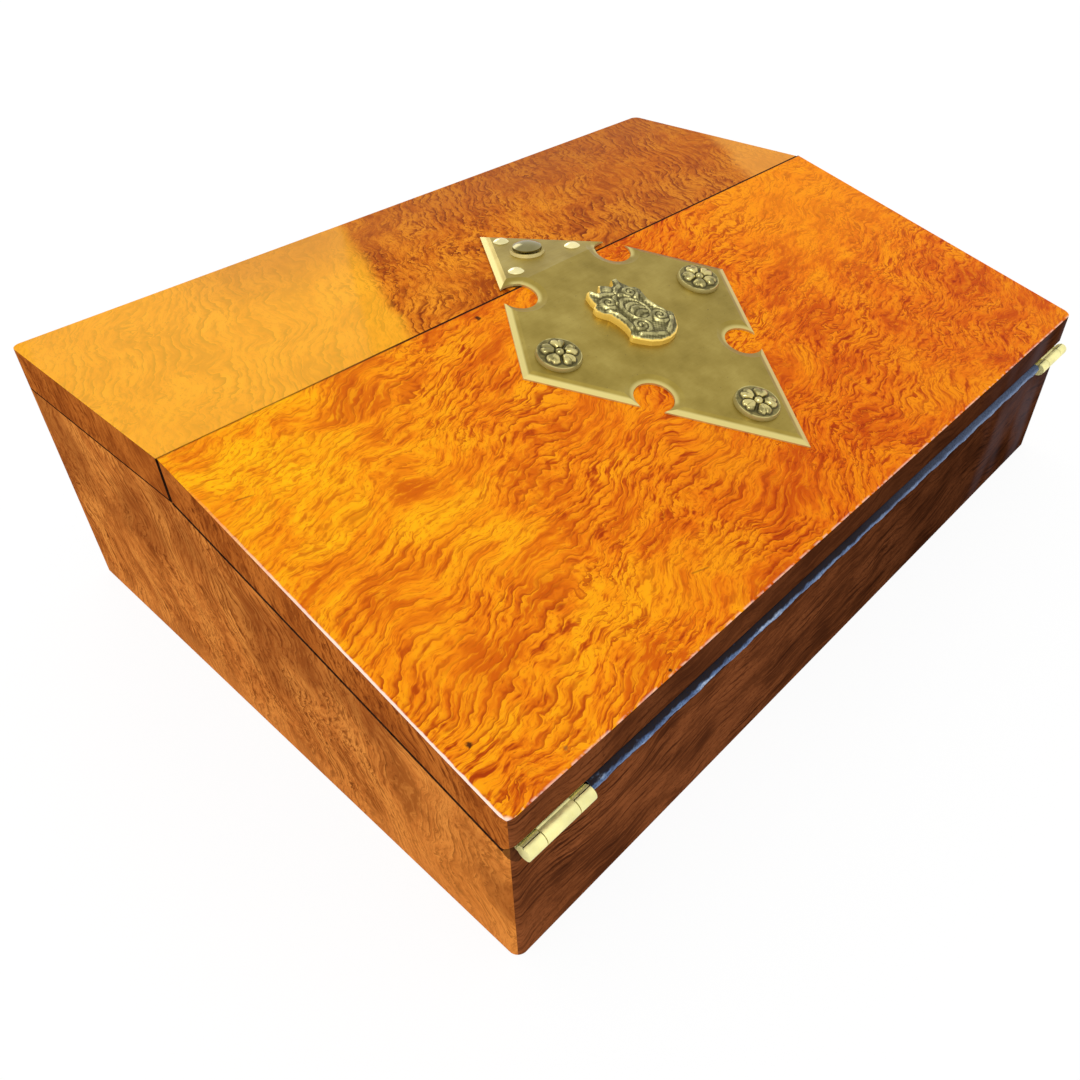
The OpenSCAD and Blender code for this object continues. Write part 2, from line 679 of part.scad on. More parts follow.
// The bites' bevels start a little higher than the straight ones, so that their corners never coincide
bite_step = 0.25;
module flat_lozenge(shift) {
    edge_l = norm([plate_hw, plate_hl]);
    edge_a = atan2(plate_hl, plate_hw);
    bevel_slope = (plate_t - edge_t) / bevel_w;
    bite_edge_t = edge_t + bite_step;
    difference() {
        linear_extrude(plate_t) polygon([[-plate_hw, 0], [0, -plate_hl], [plate_hw, 0], [0, plate_hl]]);
        for (mx = [0, 1]) for (my = [0, 1]) mirror([mx, 0, 0]) mirror([0, my, 0]) {
            translate([plate_hw / 2, plate_hl / 2, 0]) rotate([0, 0, 90 - edge_a]) rotate([90, 0, 0])
                translate([0, 0, -edge_l]) linear_extrude(2 * edge_l) polygon([[1, edge_t - bevel_slope],
                    [-bevel_w - 1, plate_t + bevel_slope], [1, plate_t + bevel_slope]]);
            translate([bite_x, bite_y + shift, 0]) rotate([0, 0, bite_turn]) {
                translate([0, 0, -1]) cylinder(r = bite_r, h = plate_t + 2);
                translate([0, 0, bite_edge_t])
                    cylinder(r1 = bite_r, r2 = bite_r + bevel_w, h = plate_t - bite_edge_t + eps);
            }
        }
    }
}
module stud_places() {
    for (p = [[-stud_x, stud_y], [stud_x, stud_y], [0, stud_rear_y]]) on_flat() translate([p[0], p[1], 0]) children();
}
module at_button() {
    on_flat() translate([0, button_y, 0]) children();
}
slide_clear = 0.06;
dome_clear = 0.2;
module brass_plate() {
    color("goldenrod") difference() {
        union() {
            intersection() {
                on_slope() translate([0, -plate_off, 0]) flat_lozenge(0);
                on_flat() rotate([top_a / 2, 0, 0]) translate([-far, -far, -far]) cube([2 * far, far, 2 * far]);
            }
            intersection() {
                on_flat() translate([0, -plate_off, 0]) flat_lozenge(bend_shift);
                on_flat() rotate([top_a / 2, 0, 0]) translate([-far, 0, -far]) cube([2 * far, far, 2 * far]);
            }
            on_flat() rotate([top_a / 2, 0, 0]) translate([-core_hw, -core_d / 2, core_in])
                cube([2 * core_hw, core_d, plate_t - 2 * core_in]);
            at_button() difference() {
                translate([0, 0, plate_t - eps]) cylinder(r = button_r + dome_clear + collar_w, h = collar_h);
                cylinder(r = button_r + dome_clear, h = far);
            }
        }
        at_button() translate([0, 0, -1]) cylinder(r = stem_r + slide_clear, h = plate_t + 2);
        stud_places() translate([0, 0, -1]) cylinder(r = shank_r + slide_clear, h = plate_t + 2);
    }
}
// Cartouche: a waisted shield with a crest, side scrolls and a raised oval
module cartouche_outline() {
    w = cart_w / 2;
    l = cart_l / 2;
    difference() {
        union() {
            translate([0, -l + w]) circle(r = w);
            translate([-w, -l + w]) square([2 * w, 1.1 * l]);
            translate([-0.7 * w, 0]) square([1.4 * w, 0.62 * l]);
            for (side = [-1, 1]) {
                translate([side * 0.92 * w, -l + w - 1]) circle(r = 2.2);
                translate([side * 0.9 * w, 0.32 * l]) circle(r = 2.6);
                translate([side * 0.56 * w, 0.66 * l]) circle(r = 3.2);
            }
            translate([0, l - 4]) circle(r = 4);
            translate([-2.6, 0.4 * l]) square([5.2, 0.3 * l]);
        }
        for (side = [-1, 1]) translate([side * (w + 2.6), 0]) circle(r = 4.4);
    }
}
// The raised oval is the cap of a ball
relief_r = cart_w / 2 - 3;
relief_ball = (relief_r * relief_r + relief_t * relief_t) / (2 * relief_t);
module cartouche() {
    color("gold") at_plate_middle() {
        linear_extrude(cart_t) cartouche_outline();
        translate([0, -2, cart_t - eps]) intersection() {
            translate([0, 0, relief_t - relief_ball]) sphere(r = relief_ball);
            cylinder(r = relief_r, h = relief_t + 1);
        }
        for (side = [-1, 1]) translate([side * 0.25 * cart_w, cart_l * 0.33, cart_t]) sphere(r = relief_t);
        translate([0, cart_l / 2 - 4, cart_t]) sphere(r = relief_t);
    }
}
module rosette() {
    cylinder(r1 = rosette_r, r2 = rosette_r - 0.8, h = rosette_base_t);
    translate([0, 0, rosette_base_t]) {
        for (i = [0:4]) rotate([0, 0, 72 * i + 18]) translate([rosette_r - petal_r - 1.4, 0, 0])
            intersection() {
                sphere(r = petal_r, $fn = 32);
                translate([0, 0, -eps]) cylinder(r = petal_r + 1, h = petal_r);
            }
        intersection() {
            sphere(r = bead_r + 1, $fn = 32);
            translate([0, 0, -eps]) cylinder(r = petal_r + 1, h = petal_r + 1);
        }
    }
}
module rosettes() {
    color("gold") at_plate_middle() {
        for (side = [-1, 1]) translate([side * rosette_x, 0, 0]) rosette();
        translate([0, -rosette_y, 0]) rosette();
    }
}
// Studs: domes above the tongue, shanks riveted through the catch plate
module tongue_studs() {
    dome_r = (stud_r * stud_r + stud_h * stud_h) / (2 * stud_h);
    color("gold") stud_places() {
        intersection() {
            translate([0, 0, plate_t + stud_h - dome_r]) sphere(r = dome_r);
            translate([0, 0, plate_t]) cylinder(r = stud_r, h = stud_h);
        }
        translate([0, 0, -catch_t]) cylinder(r = shank_r, h = plate_t + catch_t + eps);
    }
}

// Catch: a plate under the tongue with the button's guide tube, and a spring hook behind it
catch_rim = 6;
catch_front = 5;
catch_nose = 3.4;
catch_back = stud_rear_y + 3;
catch_outline = [[-stud_x - catch_rim, catch_front], [stud_x + catch_rim, catch_front], [catch_nose, catch_back],
    [-catch_nose, catch_back]];
hook_y = button_y + tube_r + 3;
hook_nose = 2.2;
module catch_plate() {
    color("goldenrod") difference() {
        on_flat() union() {
            translate([0, 0, -catch_t]) linear_extrude(catch_t) polygon(catch_outline);
            translate([0, button_y, -catch_t - tube_l]) cylinder(r = tube_r, h = tube_l + eps);
        }
        at_button() translate([0, 0, -far / 2]) cylinder(r = stem_r + 1.2, h = far / 2 - catch_t);
        at_button() translate([0, 0, -catch_t - 1]) cylinder(r = stem_r + slide_clear, h = catch_t + 2);
        stud_places() translate([0, 0, -catch_t - 1]) cylinder(r = shank_r + slide_clear, h = catch_t + 2);
    }
}
module catch_hook() {
    drop = recess_deep + keeper_t + 0.5;
    color("silver") on_flat() translate([0, 0, -catch_t]) {
        translate([-hook_w / 2, hook_y - 2.4, -hook_t]) cube([hook_w, 2.4 + hook_t, hook_t]);
        translate([-hook_w / 2, hook_y, -drop - 3]) cube([hook_w, hook_t, drop + 3]);
        along_x(-hook_w / 2, hook_w / 2)
            polygon([[hook_y + hook_t - eps, -drop], [hook_y + hook_t + hook_nose, -drop],
                [hook_y + hook_t - eps, -drop - 3]]);
    }
}
button_gap = button_travel + 0.2;
foot_clear = 0.5;
foot_rim = 1;
foot_t = 1;
module release_button() {
    skirt_h = 1.2;
    foot_z = -catch_t - tube_l + button_travel + foot_clear;
    dome_h = button_h - button_gap - skirt_h;
    dome_r = (button_r * button_r + dome_h * dome_h) / (2 * dome_h);
    color("gold") at_button() {
        translate([0, 0, plate_t + button_gap]) cylinder(r = button_r, h = skirt_h);
        intersection() {
            translate([0, 0, plate_t + button_h - dome_r]) sphere(r = dome_r);
            translate([0, 0, plate_t + button_gap + skirt_h - eps]) cylinder(r = button_r, h = dome_h + 1);
        }
        translate([0, 0, foot_z]) cylinder(r = stem_r, h = catch_t + tube_l + plate_t);
        translate([0, 0, foot_z]) cylinder(r = stem_r + foot_rim, h = foot_t);
    }
}
// A short coil around the stem, between the guide tube's shoulder and the stem's foot
module button_spring() {
    z0 = -catch_t - tube_l + button_travel + foot_clear + foot_t;
    z1 = -catch_t;
    color("silver") at_button() translate([0, 0, z0 + 0.2]) difference() {
        cylinder(r = stem_r + 0.9, h = z1 - z0 - 0.4);
        translate([0, 0, -1]) cylinder(r = stem_r + 0.3, h = z1 - z0 + 2);
    }
}

// Lid
recess_deep = 0.6;
recess_t = catch_t - lid_drop + recess_deep;
recess_clear = 1.4;
recess_x = stud_x + catch_rim + recess_clear;
recess_outline = [[-recess_x, catch_front - recess_clear], [recess_x, catch_front - recess_clear],
    [catch_nose + recess_clear, catch_back + recess_clear], [-catch_nose - recess_clear, catch_back + recess_clear]];
// Room beside the guide tube, and in front of it for its arc as the flap opens
hole_x = tube_r + 1;
tube_swing = 7;
hole_front = button_y - tube_r - tube_swing;
hook_clear = 0.8;
keeper_hole = [[-hole_x, hole_front], [hole_x, hole_front],
    [hole_x, hook_y + hook_t + hook_clear], [-hole_x, hook_y + hook_t + hook_clear]];
module lid_top() {
    color("darkorange") difference() {
        lid_top_shape();
        outside_corners();
        on_flat() translate([0, 0, -lid_drop - recess_t - keeper_t]) linear_extrude(far) polygon(recess_outline);
        on_flat() translate([-hole_x, hole_front, -far / 2])
            cube([2 * hole_x, hook_y + hook_nose + hook_t + 1.2 - hole_front, far]);
    }
}
module keeper_plate() {
    color("goldenrod") on_flat() translate([0, 0, -lid_drop - recess_t - keeper_t]) linear_extrude(keeper_t)
        difference() {
            polygon(recess_outline);
            polygon(keeper_hole);
        }
}
module lid_front_rim() { color("saddlebrown") lid_rim("front"); }
module lid_back_rim() {
    color("saddlebrown") difference() {
        lid_rim("back");
        for (side = [-1, 1]) rear_hinge_at(side) leaf_cut(1, lid_gap);
    }
}
module lid_left_rim() { color("chocolate") lid_rim("left"); }
module lid_right_rim() { color("chocolate") lid_rim("right"); }
lining_clear = 1;
module lid_lining() {
    color("slategray") difference() {
        translate([-x_side + rim_t, lid_front + rim_t, lid_z - top_t - velvet_t])
            cube([2 * (x_side - rim_t), y_back - lid_front - 2 * rim_t, velvet_t]);
        translate([-hole_x - lining_clear, lid_front, lid_z - top_t - lining_clear - velvet_t])
            cube([2 * (hole_x + lining_clear), hook_y + hook_t + hook_nose + lining_clear, far]);
    }
}

base_bottom();
front_wall();
back_wall();
left_wall();
right_wall();
cross_partition();
panel_ledges();
bay_dividers();
inkwell_shelves();
letter_dividers();
pen_tray();
tray_bearers();
inkwell_left();
inkwell_right();
inkwell_collar_left();
inkwell_collar_right();
front_base_leaf_left();
front_base_leaf_right();
front_pin_left();
front_pin_right();
rear_base_leaf_left();
rear_base_leaf_right();
rear_pin_left();
rear_pin_right();
base_screws();
hinge_cloth();
writing_panel();
panel_velvet();
lifting_tab();
flap_top();
flap_front_rim();
flap_rear_rim();
flap_left_rim();
flap_right_rim();
flap_board();
flap_velvet();
brass_plate();
cartouche();
rosettes();
tongue_studs();
catch_plate();
catch_hook();
front_flap_leaf_left();
front_flap_leaf_right();
flap_screws();
release_button();
button_spring();
lid_top();
lid_front_rim();
lid_back_rim();
lid_left_rim();
lid_right_rim();
lid_lining();
keeper_plate();
rear_lid_leaf_left();
rear_lid_leaf_right();
lid_screws();
inkwell_cap_left();
inkwell_cap_right();
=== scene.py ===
"""Looks of the writing box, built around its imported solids. Metres, in the solids' frame:
origin in the middle of the underside, +X to the right along the front, +Y to the back, +Z up."""

import math

import bpy
import numpy as np
from mathutils import Matrix, Vector


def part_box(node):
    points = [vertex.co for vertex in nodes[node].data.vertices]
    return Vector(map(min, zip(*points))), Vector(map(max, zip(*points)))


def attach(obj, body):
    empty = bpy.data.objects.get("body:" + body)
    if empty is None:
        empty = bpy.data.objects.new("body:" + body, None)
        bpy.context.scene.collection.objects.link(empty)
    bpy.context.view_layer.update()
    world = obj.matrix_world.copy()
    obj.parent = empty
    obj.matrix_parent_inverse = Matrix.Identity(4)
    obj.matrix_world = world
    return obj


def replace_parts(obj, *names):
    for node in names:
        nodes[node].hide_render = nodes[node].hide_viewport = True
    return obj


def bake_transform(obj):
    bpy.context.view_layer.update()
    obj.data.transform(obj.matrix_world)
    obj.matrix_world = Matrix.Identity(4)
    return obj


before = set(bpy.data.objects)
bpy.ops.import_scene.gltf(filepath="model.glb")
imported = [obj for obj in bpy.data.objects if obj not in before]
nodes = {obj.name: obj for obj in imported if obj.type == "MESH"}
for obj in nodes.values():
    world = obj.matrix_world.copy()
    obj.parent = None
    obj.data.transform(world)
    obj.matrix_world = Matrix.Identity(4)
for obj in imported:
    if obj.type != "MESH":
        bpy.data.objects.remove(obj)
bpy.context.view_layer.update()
MM = 0.001

# Sizes repeated from the part's source
SEAM_Y = 0.021
REAR_H = 0.108
LID_SPLIT = 0.0912
TOP_A = math.atan(39 / 148)
SPLIT_A = math.atan(37.2 / 148)
PLATE_T = 0.002
PLATE_OFF = 0.04
PLATE_HW = 0.06
PLATE_HL = 0.086
BEVEL_W = 0.0036
EDGE_T = 0.0006
BITE_EDGE_T = 0.00085
BITE_R = 0.0077
BITE_X = 0.028
BITE_Y = 0.035
ROSETTE_X = 0.042
FRONT_ROSETTE = 0.061
BUTTON_Y = 0.0175
FRONT_AXIS = Vector((0, -0.1286, 0.054 - 0.0016 * math.tan(SPLIT_A)))
HALF_GAP = 0.00075
VELVET_T = 0.0006
FOLD_HALF = 0.1484
FOLD_MID = 0.0019
FOLD_R = 0.0019


# Camera: solved from the box's corners in the photo, for a square image and no shift
def make_camera():
    data = bpy.data.cameras.new("camera")
    data.lens = 31.165
    data.sensor_width = 36
    cam = bpy.data.objects.new("camera", data)
    bpy.context.scene.collection.objects.link(cam)
    right = Vector((0.691869, -0.721607, -0.024507))
    up = Vector((0.478816, 0.43315, 0.763621))
    back = Vector((-0.540419, -0.54006, 0.6452))
    turn = Matrix((right, up, back)).transposed().to_4x4()
    cam.matrix_world = Matrix.Translation((-0.26193, -0.22536, 0.26794)) @ turn
    data.clip_start = 0.01
    data.clip_end = 20
    bpy.context.scene.camera = cam


make_camera()


# Materials
class Graph:
    """A short way to write a material's nodes."""

    def __init__(self, name):
        self.material = bpy.data.materials.new(name)
        self.material.use_nodes = True
        self.tree = self.material.node_tree
        self.shader = self.tree.nodes["Principled BSDF"]
        self.coords = self.tree.nodes.new("ShaderNodeTexCoord")
        self.place = self.coords.outputs["Object"]

    def put(self, socket, value):
        if isinstance(value, bpy.types.NodeSocket):
            self.tree.links.new(value, socket)
        elif value is not None:
            socket.default_value = value

    def set(self, **values):
        """Sets the shader's sockets: Base_Color stands for Base Color."""
        for key, value in values.items():
            self.put(self.shader.inputs[key.replace("_", " ")], value)
        return self

    def math(self, operation, a, b=None, clamp=False):
        node = self.tree.nodes.new("ShaderNodeMath")
        node.operation = operation
        node.use_clamp = clamp
        self.put(node.inputs[0], a)
        self.put(node.inputs[1], b)
        return node.outputs[0]

    def times(self, a, *others):
        for other in others:
            a = self.math("MULTIPLY", a, other)
        return a

    def plus(self, a, *others):
        for other in others:
            a = self.math("ADD", a, other)
        return a

    def minus(self, a, b):
        return self.math("SUBTRACT", a, b)

    def vector(self, operation, a, b=None, scale=None):
        node = self.tree.nodes.new("ShaderNodeVectorMath")
        node.operation = operation
        self.put(node.inputs[0], a)
        self.put(node.inputs[1], b)
        if scale is not None:
            self.put(node.inputs["Scale"], scale)
        return node.outputs["Value"] if operation in ("DOT_PRODUCT", "LENGTH") else node.outputs[0]

    def split(self, a):
        node = self.tree.nodes.new("ShaderNodeSeparateXYZ")
        self.put(node.inputs[0], a)
        return node.outputs

    def join(self, x, y, z):
        node = self.tree.nodes.new("ShaderNodeCombineXYZ")
        for socket, value in zip(node.inputs, (x, y, z)):
            self.put(socket, value)
        return node.outputs[0]

    def mapped(self, a, turn=(0, 0, 0), scale=(1, 1, 1), move=(0, 0, 0)):
        node = self.tree.nodes.new("ShaderNodeMapping")
        self.put(node.inputs["Vector"], a)
        node.inputs["Rotation"].default_value = turn
        node.inputs["Scale"].default_value = scale
        node.inputs["Location"].default_value = move
        return node.outputs[0]

    def noise(self, a, scale=1.0, detail=2.0, rough=0.5, colour=False):
        node = self.tree.nodes.new("ShaderNodeTexNoise")
        self.put(node.inputs["Vector"], a)
        node.inputs["Scale"].default_value = scale
        node.inputs["Detail"].default_value = detail
        node.inputs["Roughness"].default_value = rough
        return node.outputs["Color" if colour else 0]

    def ripples(self, a, width, wander, size):
        """Wavy lines along the first axis, each 0 at its sharp edge and rising to 1 before the next one.
        wander: how far they leave their way, in widths; size: length of their waves."""
        node = self.tree.nodes.new("ShaderNodeTexWave")
        node.bands_direction = "Y"
        node.wave_profile = "SAW"
        self.put(node.inputs["Vector"], a)
        scale = 2 * math.pi / (20 * width)
        node.inputs["Scale"].default_value = scale
        node.inputs["Distortion"].default_value = 2 * math.pi * wander
        node.inputs["Detail"].default_value = 3.0
        node.inputs["Detail Scale"].default_value = 1 / (size * scale)
        node.inputs["Detail Roughness"].default_value = 0.6
        return node.outputs["Fac"]

    def ramp(self, factor, *stops):
        """stops: (place, colour or grey)."""
        node = self.tree.nodes.new("ShaderNodeValToRGB")
        self.put(node.inputs[0], factor)
        line = node.color_ramp
        while len(line.elements) < len(stops):
            line.elements.new(0.5)
        for element, (place, tone) in zip(line.elements, stops):
            element.position = place
            tone = (tone, tone, tone) if isinstance(tone, (int, float)) else tone
            element.color = (*tone, 1)
        return node.outputs["Color"]

    def band(self, value, low, high):
        """0 below low, 1 above high, smooth between; low may be the larger one."""
        node = self.tree.nodes.new("ShaderNodeMapRange")
        node.interpolation_type = "SMOOTHSTEP"
        self.put(node.inputs["Value"], value)
        if low < high:
            node.inputs["From Min"].default_value = low
            node.inputs["From Max"].default_value = high
            return node.outputs[0]
        node.inputs["From Min"].default_value = high
        node.inputs["From Max"].default_value = low
        node.inputs["To Min"].default_value = 1
        node.inputs["To Max"].default_value = 0
        return node.outputs[0]

    def mix(self, factor, a, b, blend="MIX"):
        node = self.tree.nodes.new("ShaderNodeMix")
        node.data_type = "RGBA"
        node.blend_type = blend
        self.put(node.inputs[0], factor)
        for socket, value in ((node.inputs[6], a), (node.inputs[7], b)):
            self.put(socket, (*value, 1) if isinstance(value, tuple) else value)
        return node.outputs[2]

    def bump(self, height, distance, strength=1.0):
        node = self.tree.nodes.new("ShaderNodeBump")
        self.put(node.inputs["Height"], height)
        node.inputs["Distance"].default_value = distance
        node.inputs["Strength"].default_value = strength
        self.put(self.shader.inputs["Normal"], node.outputs[0])
        return self


def flat_place(g, plane, seed):
    """Coordinates with the board's face in the first two axes."""
    x, y, z = g.split(g.place)
    flat = {"top": (x, y, z), "side": (y, z, x), "front": (x, z, y)}[plane]
    return g.vector("ADD", g.join(*flat), (seed, seed * 0.7, seed * 0.3))


def centred(g, value, size):
    """A noise value spread evenly about zero; size may be a socket too."""
    return g.times(g.minus(value, 0.5), size)


def fibres(g, plane, angle, seed, sway, curl):
    """Coordinates that follow the fibres through broad swirls and small curls; and the straight ones."""
    here = flat_place(g, plane, seed)
    swirl = g.vector("SUBTRACT", g.noise(here, 26, 1, 0.5, colour=True), (0.5, 0.5, 0.5))
    knots = g.vector("SUBTRACT", g.noise(here, 120, 2, 0.55, colour=True), (0.5, 0.5, 0.5))
    bent = g.vector("ADD", here, g.vector("SCALE", swirl, scale=sway))
    bent = g.vector("ADD", bent, g.vector("SCALE", knots, scale=curl))
    return g.mapped(bent, turn=(0, 0, -angle)), here


def burr(name, plane, angle, tones, variation, size=(125, 600), sway=0.024, curl=0.005, streak=0.8,
         waves=0.8, wave=0.0036, coat=0.0, seed=0.0, quiet_place=None, curly_place=None):
    """Polished figured veneer. tones: line, dark, middle, light; size: streaks per metre along and across.
    waves: strength of the rippled lines, wave: their distance, curly_place(g): how far they turn to curls.
    variation(g, colour) adds what one board has, quiet_place(g) says where the figure fades.
    Boards' faces that turn up or down, their edges in the gaps, are painted near-black as shade."""
    g = Graph(name)
    turned, here = fibres(g, plane, angle, seed, sway, curl)
    line, dark, middle, light = tones
    active = g.band(g.noise(here, 24, 2, 0.55), 0.36, 0.56)
    active = g.plus(g.times(active, 0.6), 0.4)
    if quiet_place:
        active = g.times(active, g.minus(1.0, quiet_place(g)))
    patches = g.noise(g.mapped(turned, scale=(34, 60, 34)), 1, 3, 0.6)
    colour = g.ramp(patches, (0.34, dark), (0.47, middle), (0.62, light))
    streaks = g.noise(g.mapped(turned, scale=(size[0], size[1], size[0])), 1, 2, 0.6)
    colour = g.mix(g.times(g.band(streaks, 0.5, 0.64), 0.5), colour, light)
    shade = g.times(g.band(streaks, 0.5, 0.37), active, streak)
    colour = g.mix(shade, colour, dark)
    deepest = g.times(g.band(streaks, 0.42, 0.31), active, streak)
    colour = g.mix(deepest, colour, line)
    crests = g.ripples(turned, wave, 1.1, wave * 4)
    small = g.ripples(turned, wave, 2.0, wave * 2)
    curly = g.plus(g.noise(here, 18, 1, 0.5), curly_place(g) if curly_place else 0.0)
    crests = g.mix(g.band(curly, 0.5, 0.54), crests, small)
    strokes = g.noise(g.mapped(turned, scale=(60, 190, 60)), 1, 2, 0.55)
    strokes = g.times(g.band(strokes, 0.4, 0.56), active, waves)
    colour = g.mix(g.times(g.band(crests, 0.7, 0.1), 0.75, strokes), colour, dark)
    colour = g.mix(g.times(g.band(crests, 0.7, 0.95), 0.5, strokes), colour, light)
    colour = g.mix(g.times(g.band(crests, 0.3, 0.04), strokes), colour, line)
    grain = g.noise(g.mapped(turned, scale=(500, 1700, 500)), 1, 2, 0.6)
    colour = g.mix(g.times(g.band(grain, 0.52, 0.32), 0.6), colour, dark)
    colour = g.mix(g.times(g.band(grain, 0.34, 0.26), active, 0.6), colour, line)
    if variation:
        colour = variation(g, colour)
    # Painted shade: faces turned up or down, the boards' edges in the gaps, are mixed to near-black tones.
    if plane != "top":
        up = g.math("ABSOLUTE", g.split(g.coords.outputs["Normal"])[2])
        edge_shade = g.mix(g.band(streaks, 0.35, 0.6), *EDGE_SHADE_TONES)
        colour = g.mix(g.band(up, 0.35, 0.6), colour, edge_shade)
    g.set(Base_Color=colour, Roughness=0.5, Coat_Weight=coat, Coat_Roughness=0.06, Coat_IOR=1.5)
    g.shader.inputs["Specular IOR Level"].default_value = 0.0
    return g.bump(streaks, 0.00006, 0.3).material


# Near-black tones of the painted shade on the boards' edges in the gaps.
EDGE_SHADE_TONES = ((0.022, 0.009, 0.005), (0.055, 0.021, 0.01))
# Dark tones of the painted shade on the rims that meet at the seam.
SEAM_SHADE_TONES = ((0.012, 0.006, 0.004), (0.022, 0.009, 0.005), (0.038, 0.015, 0.008), (0.055, 0.021, 0.01))
ORANGE = ((0.33, 0.033, 0.0005), (0.57, 0.1, 0.001), (0.8, 0.217, 0.0025), (0.9, 0.36, 0.004))
SIDE_TONES = ((0.09, 0.02, 0.004), (0.29, 0.076, 0.013), (0.53, 0.165, 0.03), (0.67, 0.245, 0.047))
FRONT_TONES = ((0.035, 0.01, 0.004), (0.085, 0.024, 0.008), (0.15, 0.043, 0.013), (0.24, 0.072, 0.022))
RIM_TONES = ((0.1, 0.02, 0.004), (0.22, 0.05, 0.008), (0.36, 0.095, 0.014), (0.47, 0.14, 0.022))
LID_TONES = ((0.16, 0.022, 0.001), (0.35, 0.064, 0.002), (0.6, 0.152, 0.005), (0.75, 0.25, 0.011))


def seam_shade_line(g, colour, near, far):
    """A dark line of painted shade along the seam between flap and lid, fainter towards the left."""
    x, y, z = g.split(g.place)
    amount = g.plus(g.times(g.band(x, -0.14, -0.06), 0.65), 0.3)
    return g.mix(g.times(g.band(y, near, far), amount), colour, (0.02, 0.007, 0.003))


def spot(g, colour, place, inner, outer, tone=(0.03, 0.008, 0.003), amount=0.9):
    """A dark speck with a ragged edge."""
    away = g.vector("LENGTH", g.vector("SUBTRACT", g.place, place))
    ragged = g.plus(away, centred(g, g.noise(g.place, 900, 1, 0.5), outer))
    return g.mix(g.times(g.band(ragged, outer, inner), amount), colour, tone)


def scratch(g, colour, start, end, width, amount):
    """A thin dark mark between two places."""
    start, end = Vector(start), Vector(end)
    length = (end - start).length
    run = (end - start).normalized()
    off = g.vector("SUBTRACT", g.place, tuple(start))
    t = g.vector("DOT_PRODUCT", off, tuple(run))
    beside = g.vector("LENGTH", g.vector("CROSS_PRODUCT", off, tuple(run)))
    inside = g.times(g.band(t, 0.0, 0.001), g.band(t, length, length - 0.002))
    line = g.times(g.band(beside, width, width * 0.4), inside)
    return g.mix(g.times(line, amount), colour, (0.12, 0.03, 0.004))


def flap_curly(g):
    """Small curls towards the right, and a few along the seam."""
    x, y, z = g.split(g.place)
    behind = g.times(g.band(y, -0.08, -0.02), 0.1)
    return g.minus(g.plus(behind, g.times(g.band(x, -0.06, 0.06), 0.24)), 0.12)


def flap_calm(g):
    """Little figure at the rear left."""
    x, y, z = g.split(g.place)
    return g.times(g.band(x, -0.07, -0.14), g.band(y, -0.09, -0.02), 0.6)


def flap_variation(g, colour):
    """Deeper at the right, a veneer join, old marks, and worn edges that also carry a painted highlight."""
    x, y, z = g.split(g.place)
    colour = g.mix(g.band(x, -0.13, 0.0), colour, (0.93, 0.77, 0.6), "MULTIPLY")
    front = g.times(g.band(x, -0.12, -0.04), g.band(y, -0.05, -0.09))
    colour = g.mix(front, colour, (0.94, 0.86, 0.86), "MULTIPLY")
    rear = g.times(g.band(x, 0.06, 0.14), g.band(y, -0.07, 0.0))
    colour = g.mix(g.times(rear, 0.4), colour, (0.93, 0.32, 0.004))
    left = g.times(g.band(x, -0.07, -0.15), g.band(y, -0.08, -0.01))
    colour = g.mix(left, colour, (1.05, 1.2, 1.0), "MULTIPLY")
    join = g.band(g.math("ABSOLUTE", g.minus(x, 0.047)), 0.0005, 0.0001)
    join = g.times(join, g.band(y, -0.02, -0.03))
    colour = g.mix(g.times(join, 0.3), colour, (0.3, 0.06, 0.004))
    colour = spot(g, colour, (-0.0497, 0.0157, 0.1066), 0.0006, 0.0015)
    colour = spot(g, colour, (-0.1706, -0.1061, 0.0745), 0.0005, 0.0012)
    colour = spot(g, colour, (-0.1521, -0.1226, 0.0701), 0.0003, 0.001, (0.25, 0.1, 0.02), 0.7)
    colour = spot(g, colour, (-0.112, -0.1255, 0.0694), 0.0003, 0.0009)
    colour = scratch(g, colour, (-0.1704, -0.0061, 0.1009), (-0.1632, -0.0076, 0.1005), 0.0004, 0.5)
    colour = scratch(g, colour, (-0.0802, -0.1083, 0.0739), (-0.0721, -0.1107, 0.0733), 0.0004, 0.45)
    # Painted shade along the seam.
    colour = seam_shade_line(g, colour, 0.01995, 0.02025)
    # Pale line along the left arris, the front edge and the front left corner: wear and a painted highlight.
    patchy = g.noise(g.place, 300, 2, 0.6)
    edge = g.band(g.plus(x, centred(g, patchy, 0.0007)), -0.1771, -0.1775)
    left = g.times(edge, g.band(y, 0.01, -0.07))
    front = g.times(g.band(y, -0.1262, -0.1268), g.band(patchy, 0.42, 0.55))
    worn = g.math("MAXIMUM", left, g.times(front, 0.45))
    corner = g.vector("LENGTH", g.vector("SUBTRACT", g.place, (-0.178, -0.127, 0.069)))
    worn = g.math("MAXIMUM", worn, g.band(corner, 0.0026, 0.0012))
    return g.mix(g.times(worn, 0.9), colour, (0.97, 0.76, 0.66))


def side_variation(g, colour):
    """Lighter towards the lower front corner and the foot, with broad dark patches."""
    colour = gap_shade(g, colour)
    x, y, z = g.split(g.place)
    lower = g.plus(y, g.times(z, 0.6))
    colour = g.mix(g.times(g.band(lower, -0.02, -0.12), 0.35), colour, (0.72, 0.25, 0.04))
    broad = g.noise(g.place, 22, 2, 0.5)
    colour = g.mix(g.times(g.band(broad, 0.5, 0.36), 0.5), colour, (0.2, 0.045, 0.008))
    foot = g.band(g.plus(z, centred(g, broad, 0.03)), 0.018, 0.004)
    return g.mix(g.times(foot, 0.35), colour, (0.66, 0.24, 0.05))


